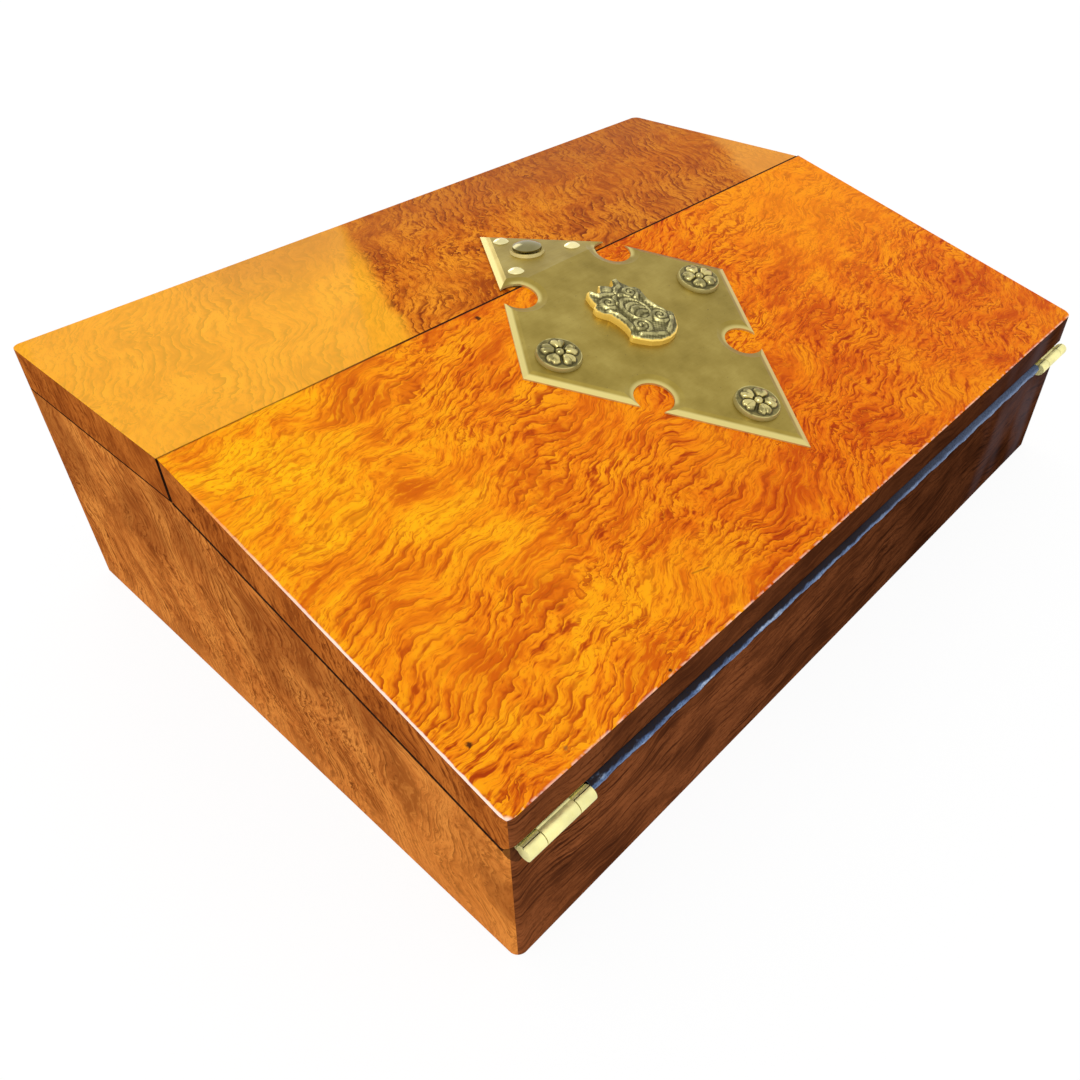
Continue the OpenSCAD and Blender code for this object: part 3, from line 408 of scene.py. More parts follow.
def lid_variation(g, colour):
    """Paler towards the left as a painted reflection of the sky, with a soft slanting boundary, and a paler
    rear right corner.
    """
    x, y, z = g.split(g.place)
    # Painted reflection of the sky: the left part is mixed paler up to a soft slanting boundary.
    slant = g.minus(x, g.times(y, 0.47))
    slant = g.plus(slant, centred(g, g.noise(g.place, 40, 2, 0.5), 0.012))
    sky_reflection = g.times(g.band(slant, -0.084, -0.092), 0.6)
    colour = g.mix(sky_reflection, colour, (0.95, 0.46, 0.022))
    colour = g.mix(g.times(g.band(x, -0.02, 0.1), 0.3), colour, (0.28, 0.07, 0.02))
    right = g.minus(x, g.times(y, 0.77))
    right = g.plus(right, centred(g, g.noise(g.place, 60, 2, 0.5), 0.01))
    colour = g.mix(g.times(g.band(right, 0.115, 0.127), 0.6), colour, (0.8, 0.35, 0.055))
    rear = g.times(g.band(y, 0.07, 0.12), g.band(x, -0.13, -0.08))
    colour = g.mix(g.times(rear, 0.35), colour, (0.33, 0.1, 0.025))
    # Painted shade along the seam.
    return seam_shade_line(g, colour, 0.02195, 0.0217)


def gap_shade(g, colour):
    """Painted shade: near-black along the gaps at the seam and under the lid."""
    x, y, z = g.split(g.place)
    seam = g.band(g.math("ABSOLUTE", g.minus(y, SEAM_Y)), 0.0013, 0.0009)
    seam = g.times(seam, g.band(z, LID_SPLIT - 0.0008, LID_SPLIT))
    under = g.band(g.math("ABSOLUTE", g.minus(z, LID_SPLIT)), 0.0005, 0.0003)
    under = g.times(under, g.band(y, 0.0205, 0.0215))
    return g.mix(g.math("MAXIMUM", seam, under), colour, (0.01, 0.005, 0.003))


def front_variation(g, colour):
    """Darker towards the right and on the flap's edge, with a faint painted reflection at the front right."""
    x, y, z = g.split(g.place)
    colour = g.mix(g.band(x, -0.15, 0.12), colour, (0.38, 0.38, 0.42), "MULTIPLY")
    rim = g.times(g.band(z, 0.053, 0.056), g.band(x, -0.18, -0.11))
    colour = g.mix(g.times(rim, 0.5), colour, (0.05, 0.014, 0.005))
    # Painted reflection: greyish smears mixed in at the front right.
    painted_reflection = g.noise(g.mapped(g.place, turn=(0, 0.6, 0), scale=(50, 20, 16)), 1, 1, 0.5)
    painted_reflection = g.times(g.band(painted_reflection, 0.4, 0.75), g.band(x, 0.08, 0.16), g.band(y, 0.0, -0.1))
    return g.mix(g.times(painted_reflection, 0.6), colour, (0.085, 0.07, 0.08))


def plain_wood(name, tones, plane, angle):
    """Straight-grained hardwood, oiled."""
    g = Graph(name)
    turned = fibres(g, plane, angle, 3.0, 0.01, 0.002)[0]
    lines = g.noise(g.mapped(turned, scale=(9, 260, 9)), 1, 2.5, 0.6)
    pores = g.noise(g.mapped(turned, scale=(110, 2600, 110)), 1, 2, 0.6)
    colour = g.ramp(lines, (0.3, tones[0]), (0.48, tones[1]), (0.7, tones[2]))
    colour = g.mix(g.band(pores, 0.42, 0.3), colour, g.mix(0.6, colour, tones[0]))
    g.set(Base_Color=colour, Roughness=0.42)
    return g.bump(pores, 0.0001, 0.4).material


def satin_plate():
    """Aged sheet brass: satin face with fine scratches and tarnish; painted highlight on the bevels that face
    the front left, round the bites only near their edge."""
    g = Graph("plate_brass")
    normal = g.coords.outputs["Normal"]
    on_slope = g.vector("DOT_PRODUCT", normal, (0, -math.sin(TOP_A), math.cos(TOP_A)))
    on_flat = g.vector("DOT_PRODUCT", normal, (0, 0, 1))
    bevel = g.band(g.math("MAXIMUM", on_slope, on_flat), 0.997, 0.985)
    clouds = g.noise(g.place, 60, 4, 0.6)
    specks = g.noise(g.place, 900, 2, 0.6)
    scratches = g.noise(g.mapped(g.place, turn=(0, 0, 0.6), scale=(90, 2600, 90)), 1, 2, 0.6)
    face = g.ramp(clouds, (0.3, (0.27, 0.195, 0.035)), (0.5, (0.34, 0.25, 0.052)), (0.7, (0.42, 0.32, 0.078)))
    face = g.mix(g.times(g.band(specks, 0.32, 0.24), 0.6), face, (0.15, 0.1, 0.04))
    # Painted highlight: bevels facing the front left, where the key light falls, are mixed bright; bevels
    # facing away stay dark.
    turned_out = g.vector("DOT_PRODUCT", normal, (-0.66, -0.75, 0))
    lit_bevel_tone = g.mix(g.band(turned_out, -0.1, 0.14), (0.28, 0.21, 0.06), (0.66, 0.55, 0.2))
    from_seam = g.vector("SUBTRACT", g.place, (0, SEAM_Y, REAR_H))
    above_slope = g.vector("DOT_PRODUCT", from_seam, (0, -math.sin(TOP_A), math.cos(TOP_A)))
    above = g.math("MAXIMUM", above_slope, g.vector("DOT_PRODUCT", from_seam, (0, 0, 1)))
    along = g.vector("DOT_PRODUCT", from_seam, (0, math.cos(TOP_A), math.sin(TOP_A)))
    x = g.minus(g.math("ABSOLUTE", g.split(g.place)[0]), BITE_X)
    y = g.minus(g.math("ABSOLUTE", g.plus(along, PLATE_OFF)), BITE_Y)
    beyond = g.minus(g.vector("LENGTH", g.join(x, y, 0.0)), BITE_R)
    edge = math.hypot(PLATE_HW, PLATE_HL)
    inward = g.minus((PLATE_HL * (PLATE_HW - BITE_X) - PLATE_HW * BITE_Y) / edge,
                    g.vector("DOT_PRODUCT", g.join(x, y, 0.0), (PLATE_HL / edge, PLATE_HW / edge, 0)))
    round_h = g.plus(g.times(beyond, (PLATE_T - BITE_EDGE_T) / BEVEL_W), BITE_EDGE_T)
    straight_h = g.plus(g.times(inward, (PLATE_T - EDGE_T) / BEVEL_W), EDGE_T)
    straight = g.band(g.minus(round_h, straight_h), -0.00002, 0.00002)
    bite_rim_highlight = g.times(g.band(above, 0.0015, 0.001), 0.8)
    bright = g.mix(straight, bite_rim_highlight, g.band(above, 0.0016, 0.0012))
    colour = g.mix(g.times(bevel, bright), face, lit_bevel_tone)
    collar = g.band(above, 0.00205, 0.0021)
    colour = g.mix(g.times(bevel, collar), colour, (0.95, 0.85, 0.45))
    rough = g.mix(bevel, g.ramp(scratches, (0.3, 0.36), (0.7, 0.5)), (0.38, 0.38, 0.38))
    wall = g.times(g.band(g.math("ABSOLUTE", on_flat), 0.4, 0.2), 0.5)
    g.set(Base_Color=colour, Metallic=g.minus(1.0, wall), Roughness=rough)
    return g.bump(g.plus(scratches, specks), 0.00003, 0.5).material


def cast_brass(name, top, middle, rough, side):
    """Cast ornaments: dark in the recesses, rubbed on top, polished walls.
    The recess attribute is 1 in a hollow, 0 on a crest and -1 at the outer edge and on the wall."""
    g = Graph(name)
    attribute = g.tree.nodes.new("ShaderNodeAttribute")
    attribute.attribute_name = "recess"
    recess = attribute.outputs["Fac"]
    colour = g.ramp(recess, (0.2, top), (0.55, middle), (0.95, (0.11, 0.095, 0.045)))
    grime = g.noise(g.place, 500, 3, 0.6)
    colour = g.mix(g.band(grime, 0.42, 0.3), colour, g.mix(0.35, colour, (0.12, 0.1, 0.05)))
    patina = g.noise(g.place, 260, 2, 0.6)
    colour = g.mix(g.times(g.band(patina, 0.54, 0.4), 0.65), colour, (0.1, 0.085, 0.03))
    wall = g.band(recess, -0.02, -0.3)
    colour = g.mix(wall, colour, side)
    g.set(Base_Color=colour, Metallic=g.minus(1.0, g.times(wall, 0.6)))
    g.set(Roughness=g.mix(wall, g.ramp(recess, (0.1, rough), (0.8, 0.6)), (0.35, 0.35, 0.35)))
    return g.bump(grime, 0.00005, 0.4).material


def bright_brass(name, rough, colour, rolled=False, metal=1.0):
    """Polished brass with fine handling marks; rolled knuckles show the joint where their leaf ends."""
    g = Graph(name)
    marks = g.noise(g.place, 700, 3, 0.6)
    clouds = g.noise(g.place, 120, 2, 0.5)
    dull = tuple(c * 0.8 for c in colour)
    tone = g.ramp(clouds, (0.35, dull), (0.6, colour))
    if rolled:
        x, y, z = g.split(g.place)
        y = g.minus(y, FRONT_AXIS.y)
        z = g.minus(z, FRONT_AXIS.z)
        beside = g.math("ABSOLUTE", g.minus(y, g.times(z, 0.105)))
        joint = g.times(g.band(beside, 0.00022, 0.00012), g.band(z, 0.0015, 0.002))
        tone = g.mix(joint, tone, (0.03, 0.022, 0.01))
    g.set(Base_Color=tone, Metallic=metal)
    g.set(Roughness=g.ramp(marks, (0.3, rough * 0.7), (0.7, rough * 1.5)))
    return g.bump(marks, 0.00002, 0.5).material


def velvet(name, pile, worn, wear):
    """Cotton velvet: soft pile sheen, rubbed patches where the backing shows."""
    g = Graph(name)
    pile_noise = g.noise(g.place, 1500, 2, 0.7)
    patches = g.noise(g.mapped(g.place, scale=(70, 130, 130)), 1, 4, 0.65)
    brushed = g.noise(g.mapped(g.place, scale=(18, 30, 30)), 1, 2, 0.5)
    tone = g.mix(g.band(brushed, 0.35, 0.65), tuple(c * 0.6 for c in pile), pile)
    tone = g.mix(g.band(patches, 1 - wear, 1.2 - wear), tone, worn)
    tone = g.mix(g.band(pile_noise, 0.55, 0.35), tone, g.mix(0.5, tone, tuple(c * 0.35 for c in pile)))
    g.set(Base_Color=tone, Roughness=0.95, Sheen_Weight=0.6, Sheen_Roughness=0.4)
    g.shader.inputs["Sheen Tint"].default_value = (0.62, 0.7, 0.9, 1)
    g.shader.inputs["Specular IOR Level"].default_value = 0.1
    return g.bump(pile_noise, 0.0004, 0.6).material


def fold_velvet():
    """The fold along the split: painted shade on the flanks of its roll and a painted blue-grey highlight on
    its ridge, narrower towards the right; blue pile on the legs that show only when the box is open."""
    g = Graph("fold_velvet")
    x, y, z = g.split(g.place)
    y = g.minus(y, FRONT_AXIS.y)
    z = g.minus(z, FRONT_AXIS.z)
    lift = g.minus(g.times(z, math.cos(SPLIT_A)), g.times(y, math.sin(SPLIT_A)))
    lower = g.times(g.band(x, -0.1, 0.1), 0.0006)
    away = g.math("ABSOLUTE", g.plus(g.minus(lift, 0.0005), lower))
    ragged = g.noise(g.mapped(g.place, scale=(260, 500, 500)), 1, 3, 0.65)
    away = g.plus(away, centred(g, ragged, g.times(g.band(x, 0.15, -0.15), 0.0014)))
    away = g.plus(away, g.times(g.band(x, 0.08, -0.02), 0.0005))
    # Painted highlight on the ridge of the roll, painted shade on its flanks.
    lit_ridge = g.band(away, 0.0019, 0.0012)
    pile = g.noise(g.place, 1500, 2, 0.7)
    patches = g.noise(g.mapped(g.place, scale=(120, 300, 300)), 1, 3, 0.65)
    tone = g.ramp(patches, (0.3, (0.03, 0.05, 0.11)), (0.42, (0.07, 0.12, 0.25)), (0.55, (0.13, 0.21, 0.37)),
                  (0.66, (0.36, 0.45, 0.6)))
    tone = g.mix(g.times(g.band(x, -0.08, 0.08), 0.7), tone, (0.07, 0.11, 0.2))
    shaded_flank = g.mix(g.band(x, -0.02, 0.12), (0.02, 0.015, 0.016), (0.075, 0.1, 0.16))
    tone = g.mix(lit_ridge, shaded_flank, tone)
    tone = g.mix(g.band(y, 0.003, 0.0045), tone, (0.02, 0.04, 0.115))
    tone = g.mix(g.times(g.band(pile, 0.55, 0.35), 0.5), tone, (0.01, 0.014, 0.03))
    g.set(Base_Color=tone, Roughness=0.95, Sheen_Weight=g.times(lit_ridge, 0.5), Sheen_Roughness=0.4)
    g.shader.inputs["Sheen Tint"].default_value = (0.62, 0.7, 0.9, 1)
    g.shader.inputs["Specular IOR Level"].default_value = 0.05
    return g.bump(pile, 0.0004, 0.6).material


def ribbon_silk():
    g = Graph("ribbon")
    ribs = g.noise(g.mapped(g.place, scale=(2600, 120, 120)), 1, 1, 0.5)
    colour = g.ramp(ribs, (0.35, (0.012, 0.016, 0.05)), (0.65, (0.05, 0.065, 0.16)))
    g.set(Base_Color=colour, Roughness=0.5, Sheen_Weight=0.3)
    return g.bump(ribs, 0.0001, 0.6).material


def glass():
    g = Graph("ink_glass")
    ripples = g.noise(g.place, 90, 2, 0.5)
    g.set(Base_Color=g.ramp(ripples, (0.4, (0.86, 0.94, 0.92)), (0.6, (0.93, 0.97, 0.96))), Roughness=0.02)
    g.set(Transmission_Weight=1.0, IOR=1.5)
    return g.bump(ripples, 0.0002, 0.3).material


def spring_steel():
    g = Graph("spring_steel")
    drawn = g.noise(g.place, 800, 2, 0.6)
    g.set(Base_Color=g.ramp(drawn, (0.35, (0.3, 0.3, 0.32)), (0.65, (0.55, 0.55, 0.57))), Metallic=1.0)
    g.set(Roughness=g.ramp(drawn, (0.3, 0.25), (0.7, 0.42)))
    return g.bump(drawn, 0.00002, 0.5).material


flap_veneer = burr("flap_veneer", "top", math.radians(14), ORANGE, flap_variation, streak=0.95, wave=0.003,
                   coat=0.12, quiet_place=flap_calm, curly_place=flap_curly)
lid_veneer = burr("lid_veneer", "top", math.radians(60), LID_TONES, lid_variation, size=(150, 520), waves=1.0,
                  wave=0.004, coat=0.07, seed=2.3)
side_veneer = burr("side_veneer", "side", math.radians(78), SIDE_TONES, side_variation, size=(230, 560),
                   sway=0.035, streak=0.6, waves=0.75, wave=0.003, seed=1.1)
rim_veneer = burr("rim_veneer", "side", math.radians(80), RIM_TONES, gap_shade, size=(190, 560), waves=0.5,
                  seed=1.1)
front_veneer = burr("front_veneer", "front", math.radians(4), FRONT_TONES, front_variation, size=(45, 640),
                    sway=0.02, curl=0.003, streak=0.75, waves=0.2, seed=5.4)
# The rims at the seam between flap and lid get dark tones as painted shade of the gap.
seam_shade_veneer = burr("seam_shade_veneer", "front", math.radians(4), SEAM_SHADE_TONES, None, size=(40, 480), seed=6.1)
inside = ((0.09, 0.032, 0.014), (0.19, 0.075, 0.032), (0.29, 0.13, 0.055))
inside_along = plain_wood("inner_wood_along", inside, "top", 0.02)
inside_across = plain_wood("inner_wood_across", inside, "side", 0.02)
inside_front = plain_wood("inner_wood_front", inside, "front", 0.02)
plate_metal = satin_plate()
cast_metal = cast_brass("cast_brass", (0.62, 0.53, 0.21), (0.28, 0.235, 0.08), 0.3, (0.38, 0.31, 0.1))
cast_dull = cast_brass("cast_dull", (0.46, 0.41, 0.18), (0.13, 0.115, 0.045), 0.4, (0.95, 0.64, 0.12))
hinge_metal = bright_brass("hinge_brass", 0.45, (1.0, 0.93, 0.42), metal=0.7)
rolled_metal = bright_brass("rolled_brass", 0.45, (1.0, 0.93, 0.42), rolled=True, metal=0.7)
polished_metal = bright_brass("polished_brass", 0.18, (0.95, 0.84, 0.42))
worn_metal = bright_brass("worn_brass", 0.16, (0.29, 0.25, 0.11))
blue_pile = velvet("blue_velvet", (0.022, 0.045, 0.13), (0.12, 0.15, 0.22), 0.3)
fold_pile = fold_velvet()
silk = ribbon_silk()
clear_glass = glass()
steel = spring_steel()

LOOKS = {
    "flap_top": flap_veneer,
    "lid_top": lid_veneer,
    **dict.fromkeys(("left_wall", "right_wall"), side_veneer),
    **dict.fromkeys(("flap_left_rim", "flap_right_rim", "lid_left_rim", "lid_right_rim"), rim_veneer),
    **dict.fromkeys(("front_wall", "back_wall", "flap_front_rim", "lid_back_rim"), front_veneer),
    **dict.fromkeys(("flap_rear_rim", "lid_front_rim"), seam_shade_veneer),
    **dict.fromkeys(("front_base_leaf_left", "front_base_leaf_right"), rolled_metal),
    "cartouche": cast_dull,
    **dict.fromkeys(("base_bottom", "writing_panel", "flap_board", "inkwell_shelves"), inside_along),
    **dict.fromkeys(("panel_ledges", "bay_dividers", "tray_bearers"), inside_across),
    **dict.fromkeys(("cross_partition", "letter_dividers", "pen_tray"), inside_front),
    **dict.fromkeys(("inkwell_left", "inkwell_right"), clear_glass),
    **dict.fromkeys(("brass_plate", "catch_plate", "keeper_plate"), plate_metal),
    **dict.fromkeys(("inkwell_collar_left", "inkwell_collar_right", "inkwell_cap_left", "inkwell_cap_right"),
                    polished_metal),
    "catch_hook": steel,
}
for name, node in nodes.items():
    node.data.materials.clear()
    node.data.materials.append(LOOKS.get(name, hinge_metal))


# Mesh pieces
def piece(name, points, faces, material, slot, body=None, smooth=True, recess=None):
    mesh = bpy.data.meshes.new(name)
    mesh.from_pydata([tuple(p) for p in points], [], faces)
    mesh.materials.append(material)
    mesh.update()
    if smooth:
        mesh.shade_smooth()
        mesh.set_sharp_from_angle(angle=math.radians(40))
    if recess is not None:
        attribute = mesh.attributes.new("recess", "FLOAT", "POINT")
        attribute.data.foreach_set("value", np.asarray(recess, np.float32))
    made = bpy.data.objects.new(name, mesh)
    bpy.context.scene.collection.objects.link(made)
    if body:
        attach(made, body)
    return made


def on_slope(x, along, lift):
    """The frame of a place on the flap's top: along is measured from the seam, lift above the wood."""
    return (Matrix.Translation((0, SEAM_Y, REAR_H)) @ Matrix.Rotation(TOP_A, 4, "X")
            @ Matrix.Translation((x, along, lift)))


def on_flat(x, along, lift):
    return Matrix.Translation((x, SEAM_Y + along, REAR_H + lift))


def relief(name, place, outline, height, material, slot, body, rings=34, lip=0.3, depth=0.75):
    """A casting: a closed outline (angles in order, mm), a height over it (mm), walls down to its foot."""
    outline = np.asarray(outline, float)
    count = len(outline)
    shares = np.r_[np.linspace(0, 0.95, rings)[1:], 1.0]
    grid = np.concatenate([[[0.0, 0.0]], *[outline * s for s in shares]])
    top = height(grid[:, 0], grid[:, 1])
    rim = grid[-count:]
    foot = np.c_[rim, np.zeros(count)]
    points = np.concatenate([np.c_[grid, top], foot])
    faces = [(0, 1 + i, 1 + (i + 1) % count) for i in range(count)]
    for r in range(rings):
        a, b = 1 + r * count, 1 + (r + 1) * count
        for i in range(count):
            j = (i + 1) % count
            faces.append((a + i, b + i, b + j, a + j))
    turns = np.linspace(0, 2 * math.pi, 8, endpoint=False)
    beside = [grid + 0.65 * np.array((math.cos(a), math.sin(a))) for a in turns]
    around = np.mean([height(near_by[:, 0], near_by[:, 1]) for near_by in beside], axis=0)
    high, low = np.percentile(top, 90), top.min()
    deep = np.clip((high - top) / (high - low), 0, 1)
    recess = np.r_[np.clip((around - top) / 0.3 + 0.1 + depth * deep, 0, 1), np.zeros(count)]
    recess[len(grid) - count:] = -1
    points[len(grid) - count:len(grid), 2] -= lip
    placed = [place @ Vector(p * MM) for p in points]
    return piece(name, placed, faces, material, slot, body, recess=recess)


def turned(name, place, profile, material, slot, body, around=64):
    """A lathed piece: profile (radius, height) in mm from its foot to the middle of its top."""
    angles = np.linspace(0, 2 * math.pi, around, endpoint=False)
    points = []
    for r, h in profile[:-1]:
        points += [(r * math.cos(a), r * math.sin(a), h) for a in angles]
    points.append((0, 0, profile[-1][1]))
    last = len(profile) - 2
    faces = []
    for k in range(last):
        for i in range(around):
            j = (i + 1) % around
            faces.append((k * around + i, k * around + j, (k + 1) * around + j, (k + 1) * around + i))
    tip = len(points) - 1
    faces += [(last * around + i, last * around + (i + 1) % around, tip) for i in range(around)]
    return piece(name, [place @ (Vector(p) * MM) for p in points], faces, material, slot, body)


# Cartouche: a waisted shield with ears and a pointed crest; the relief is a plain scroll and leaf design
CARTOUCHE_HALF = [(0, -18.9), (4.2, -18.2), (7.8, -16.2), (10.4, -13.4), (12.6, -10.6), (12.7, -9.4),
                  (11.2, -8.0), (10.1, -4.6), (9.8, -0.6), (10.3, 3.2), (11.8, 5.6), (12.8, 8.0),
                  (12.2, 10.2), (10.2, 11.2), (9.8, 13.6), (8.4, 17.6), (7.0, 18.6), (5.4, 16.2),
                  (3.6, 15.4), (2.0, 17.0), (0, 18.9)]


def closed_outline(half, count=240):
    """Both halves of an outline, as evenly spaced points."""
    full = np.array(half + [(-x, y) for x, y in half[-2:0:-1]], float)
    loop = np.vstack([full, full[:1]])
    step = np.r_[0, np.cumsum(np.linalg.norm(np.diff(loop, axis=0), axis=1))]
    at = np.linspace(0, step[-1], count, endpoint=False)
    return np.c_[np.interp(at, step, loop[:, 0]), np.interp(at, step, loop[:, 1])]


def spiral(cx, cy, r0, r1, start, turns, count=70):
    t = np.linspace(0, 1, count)
    r = r0 + (r1 - r0) * t
    a = start + turns * 2 * math.pi * t
    return np.c_[cx + r * np.cos(a), cy + r * np.sin(a)]


SCROLLS = [spiral(5.6, -8.4, 0.5, 3.6, 0.4, 1.7), spiral(6.2, 8.2, 0.5, 3.2, 2.2, -1.6),
           np.array([(1.0, -16.6), (3.2, -15.4), (6.2, -13.6), (9.0, -11.4)]),
           np.array([(9.2, -7.0), (8.4, -3.0), (8.2, 1.0), (9.4, 4.6)]),
           np.array([(0.8, 11.0), (2.8, 12.6), (5.6, 13.4), (7.4, 16.6)]),
           np.array([(1.2, 9.4), (2.8, 8.4), (3.6, 6.2)])]


def near(x, y, curve):
    """Distance to a curve and to its mirror image."""
    fine = np.linspace(0, len(curve) - 1, 90)
    cx, cy = (np.interp(fine, range(len(curve)), column) for column in curve.T)
    return np.sqrt(((np.abs(x)[:, None] - cx) ** 2 + (y[:, None] - cy) ** 2).min(axis=1))


def cartouche_height(x, y):
    h = np.full_like(x, 2.8)
    swell = 0.8 * np.exp(-((np.abs(x) / 9.5) ** 2)) * np.exp(-(((y + 1) / 15) ** 2))
    for curve in SCROLLS:
        h = np.maximum(h, 2.8 + 1.15 * np.exp(-((near(x, y, curve) / 1.0) ** 2)))
    oval = np.sqrt((x / 4.6) ** 2 + ((y + 0.6) / 6.8) ** 2)
    h = np.maximum(h, 2.8 + 1.1 * np.exp(-(((oval - 1) * 4.8 / 0.8) ** 2)))
    leaf = 3.2 + 0.7 * (1 - np.clip(oval / 0.86, 0, 1) ** 2) + 0.3 * np.cos(y * 2.2 + 0.3 * x**2)
    h = np.where(oval < 0.86, np.maximum(h, leaf), h)
    h = np.maximum(h, 2.8 + 1.1 * np.exp(-((np.hypot(x, y - 14.4) / 1.6) ** 2)))
    return np.clip(h + swell * 0.6 + 0.05 * np.sin(x * 4.1) * np.sin(y * 3.7), 2.6, 4.7)


cartouche = relief("cartouche_casting", on_slope(0, -PLATE_OFF, PLATE_T), closed_outline(CARTOUCHE_HALF),
                   cartouche_height, cast_dull, "cast_brass", "front_flap", rings=46, lip=0.8, depth=0.25)
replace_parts(cartouche, "cartouche")


# Rosettes: a round base with a rim and a flower of five notched petals round a bead
def rosette_height(turn):
    def height(x, y):
        r = np.hypot(x, y)
        p = np.mod((np.arctan2(y, x) - turn) * 5 / (2 * math.pi), 1) - 0.5
        off = np.abs(2 * p)
        reach = 7.5 * (1 - 0.3 * off**2.4) - 0.7 * np.exp(-((p * r / 0.55) ** 2))
        inside = np.clip((reach - r) / 0.45, 0, 1)
        gap = (1 - off) * math.pi / 5 * r
        vein = 0.15 * np.exp(-((p * r * 1.26 / 0.5) ** 2))
        cup = 1.25 + 0.9 * np.sin(math.pi * np.clip(r / reach, 0, 1) ** 1.3) - vein
        petal = cup * (1 - 0.85 * np.exp(-((gap / 0.6) ** 2)))
        h = 0.9 + inside * petal + 0.35 * np.exp(-(((r - 8.15) / 0.4) ** 2))
        h = np.where(r < 2.3, np.minimum(h, 1.7), h)
        h = np.maximum(h, 1.6 + 1.75 * np.sqrt(np.clip(1 - (r / 1.8) ** 2, 0, None)))
        return np.clip(h * np.clip((8.85 - r) / 0.4 + 0.5, 0.5, 1), 0.4, 4.0)

    return height


circle = [(8.8 * math.cos(a), 8.8 * math.sin(a)) for a in np.linspace(0, 2 * math.pi, 150, endpoint=False)]
rosettes = [
    relief(f"rosette_{word}", on_slope(x, along, PLATE_T), circle, rosette_height(turn), cast_metal,
           "cast_brass", "front_flap", rings=44)
    for word, x, along, turn in (("left", -ROSETTE_X, -PLATE_OFF, 0.3), ("right", ROSETTE_X, -PLATE_OFF, 0.7),
                                 ("front", 0.0, -PLATE_OFF - FRONT_ROSETTE, 1.1))
]
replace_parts(rosettes[0], "rosettes")


# Studs and button
def dome(radius, foot, skirt, top, steps=12):
    """Half a profile: a short skirt from its foot, then a round cap up to its top."""
    rise = top - skirt
    ball = (radius**2 + rise**2) / (2 * rise)
    arc = math.asin(min(1, radius / ball))
    curve = [(ball * math.sin(arc * (1 - k / steps)), top - ball + ball * math.cos(arc * (1 - k / steps)))
             for k in range(steps + 1)]
    return [(radius, foot), *curve]


studs = [
    turned(f"stud_{word}", on_flat(x, y, PLATE_T), dome(3.3, 0, 0.15, 1.4), polished_metal,
           "cast_brass", "front_flap")
    for word, x, y in (("left", -0.0165, 0.0075), ("right", 0.0165, 0.0075), ("rear", 0, 0.033))
]
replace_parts(studs[0], "tongue_studs")
button = turned("button_dome", on_flat(0, BUTTON_Y, PLATE_T),
                [(2.2, -6.0), (2.2, 1.7), (5.5, 1.7), (5.9, 2.0), *dome(5.9, 2.0, 2.5, 4.0)[1:]],
                worn_metal, "cast_brass", "button")
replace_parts(button, "release_button")


def coil():
    """The button's spring, round its stem."""
    turns, r, wire = 6, 2.75, 0.28
    low, high = REAR_H / MM - 6.3, REAR_H / MM - 1.5
    middle = (SEAM_Y + BUTTON_Y) / MM
    t = np.linspace(0, 1, turns * 24 + 1)
    angles = t * turns * 2 * math.pi
    path = np.c_[r * np.cos(angles), middle + r * np.sin(angles), low + (high - low) * t]
    points, faces, sides = [], [], 8
    for p, a in zip(path, angles):
        out = np.array((math.cos(a), math.sin(a), 0))
        for s in range(sides):
            b = s * 2 * math.pi / sides
            points.append((p + wire * (math.cos(b) * out + math.sin(b) * np.array((0, 0, 1)))) * MM)
    for k in range(len(path) - 1):
        for s in range(sides):
            n = (s + 1) % sides
            faces.append((k * sides + s, k * sides + n, (k + 1) * sides + n, (k + 1) * sides + s))
    return piece("button_coil", points, faces, steel, "spring_steel", "front_flap")


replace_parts(coil(), "button_spring")


# Velvet: thin sheets with a soft uneven pile surface
def wobble(a, b, size):
    """A smooth, fixed unevenness."""
    return size * (np.sin(a * 0.31 + 1.7) * np.cos(b * 0.23 + 0.4) + 0.5 * np.sin(a * 0.83 + b * 0.57) +
                   0.35 * np.sin(a * 2.1 - b * 1.3 + 0.8)) / 1.85


def strip(name, path, normals, half, across, thick, material, slot, crumple=0.0):
    """Cloth that follows a path in the (y, z) plane (mm), from -half to +half along X, thick mm thick."""
    xs = np.linspace(-half, half, across)
    points = []
    for side in (-1, 1):
        for p, n in zip(path, normals):
            for x in xs:
                lift = side * thick / 2 + crumple * wobble(x * 0.9, p[0] * 2 + p[1] * 3, 1.0)
                points.append(np.array((x, p[0] + n[0] * lift, p[1] + n[1] * lift)) * MM)
    rows, size = len(path), len(path) * across
    faces = []
    for k in range(rows - 1):
        for i in range(across - 1):
            a = k * across + i
            faces.append((a, a + 1, a + across + 1, a + across))
            faces.append((size + a, size + a + across, size + a + across + 1, size + a + 1))
    edge = [k * across for k in range(rows)] + [(rows - 1) * across + i for i in range(1, across)]
    edge += [k * across + across - 1 for k in range(rows - 2, -1, -1)] + list(range(across - 2, 0, -1))
    for a, b in zip(edge, edge[1:] + edge[:1]):
        faces.append((a, b, size + b, size + a))
    return piece(name, points, faces, material, slot)


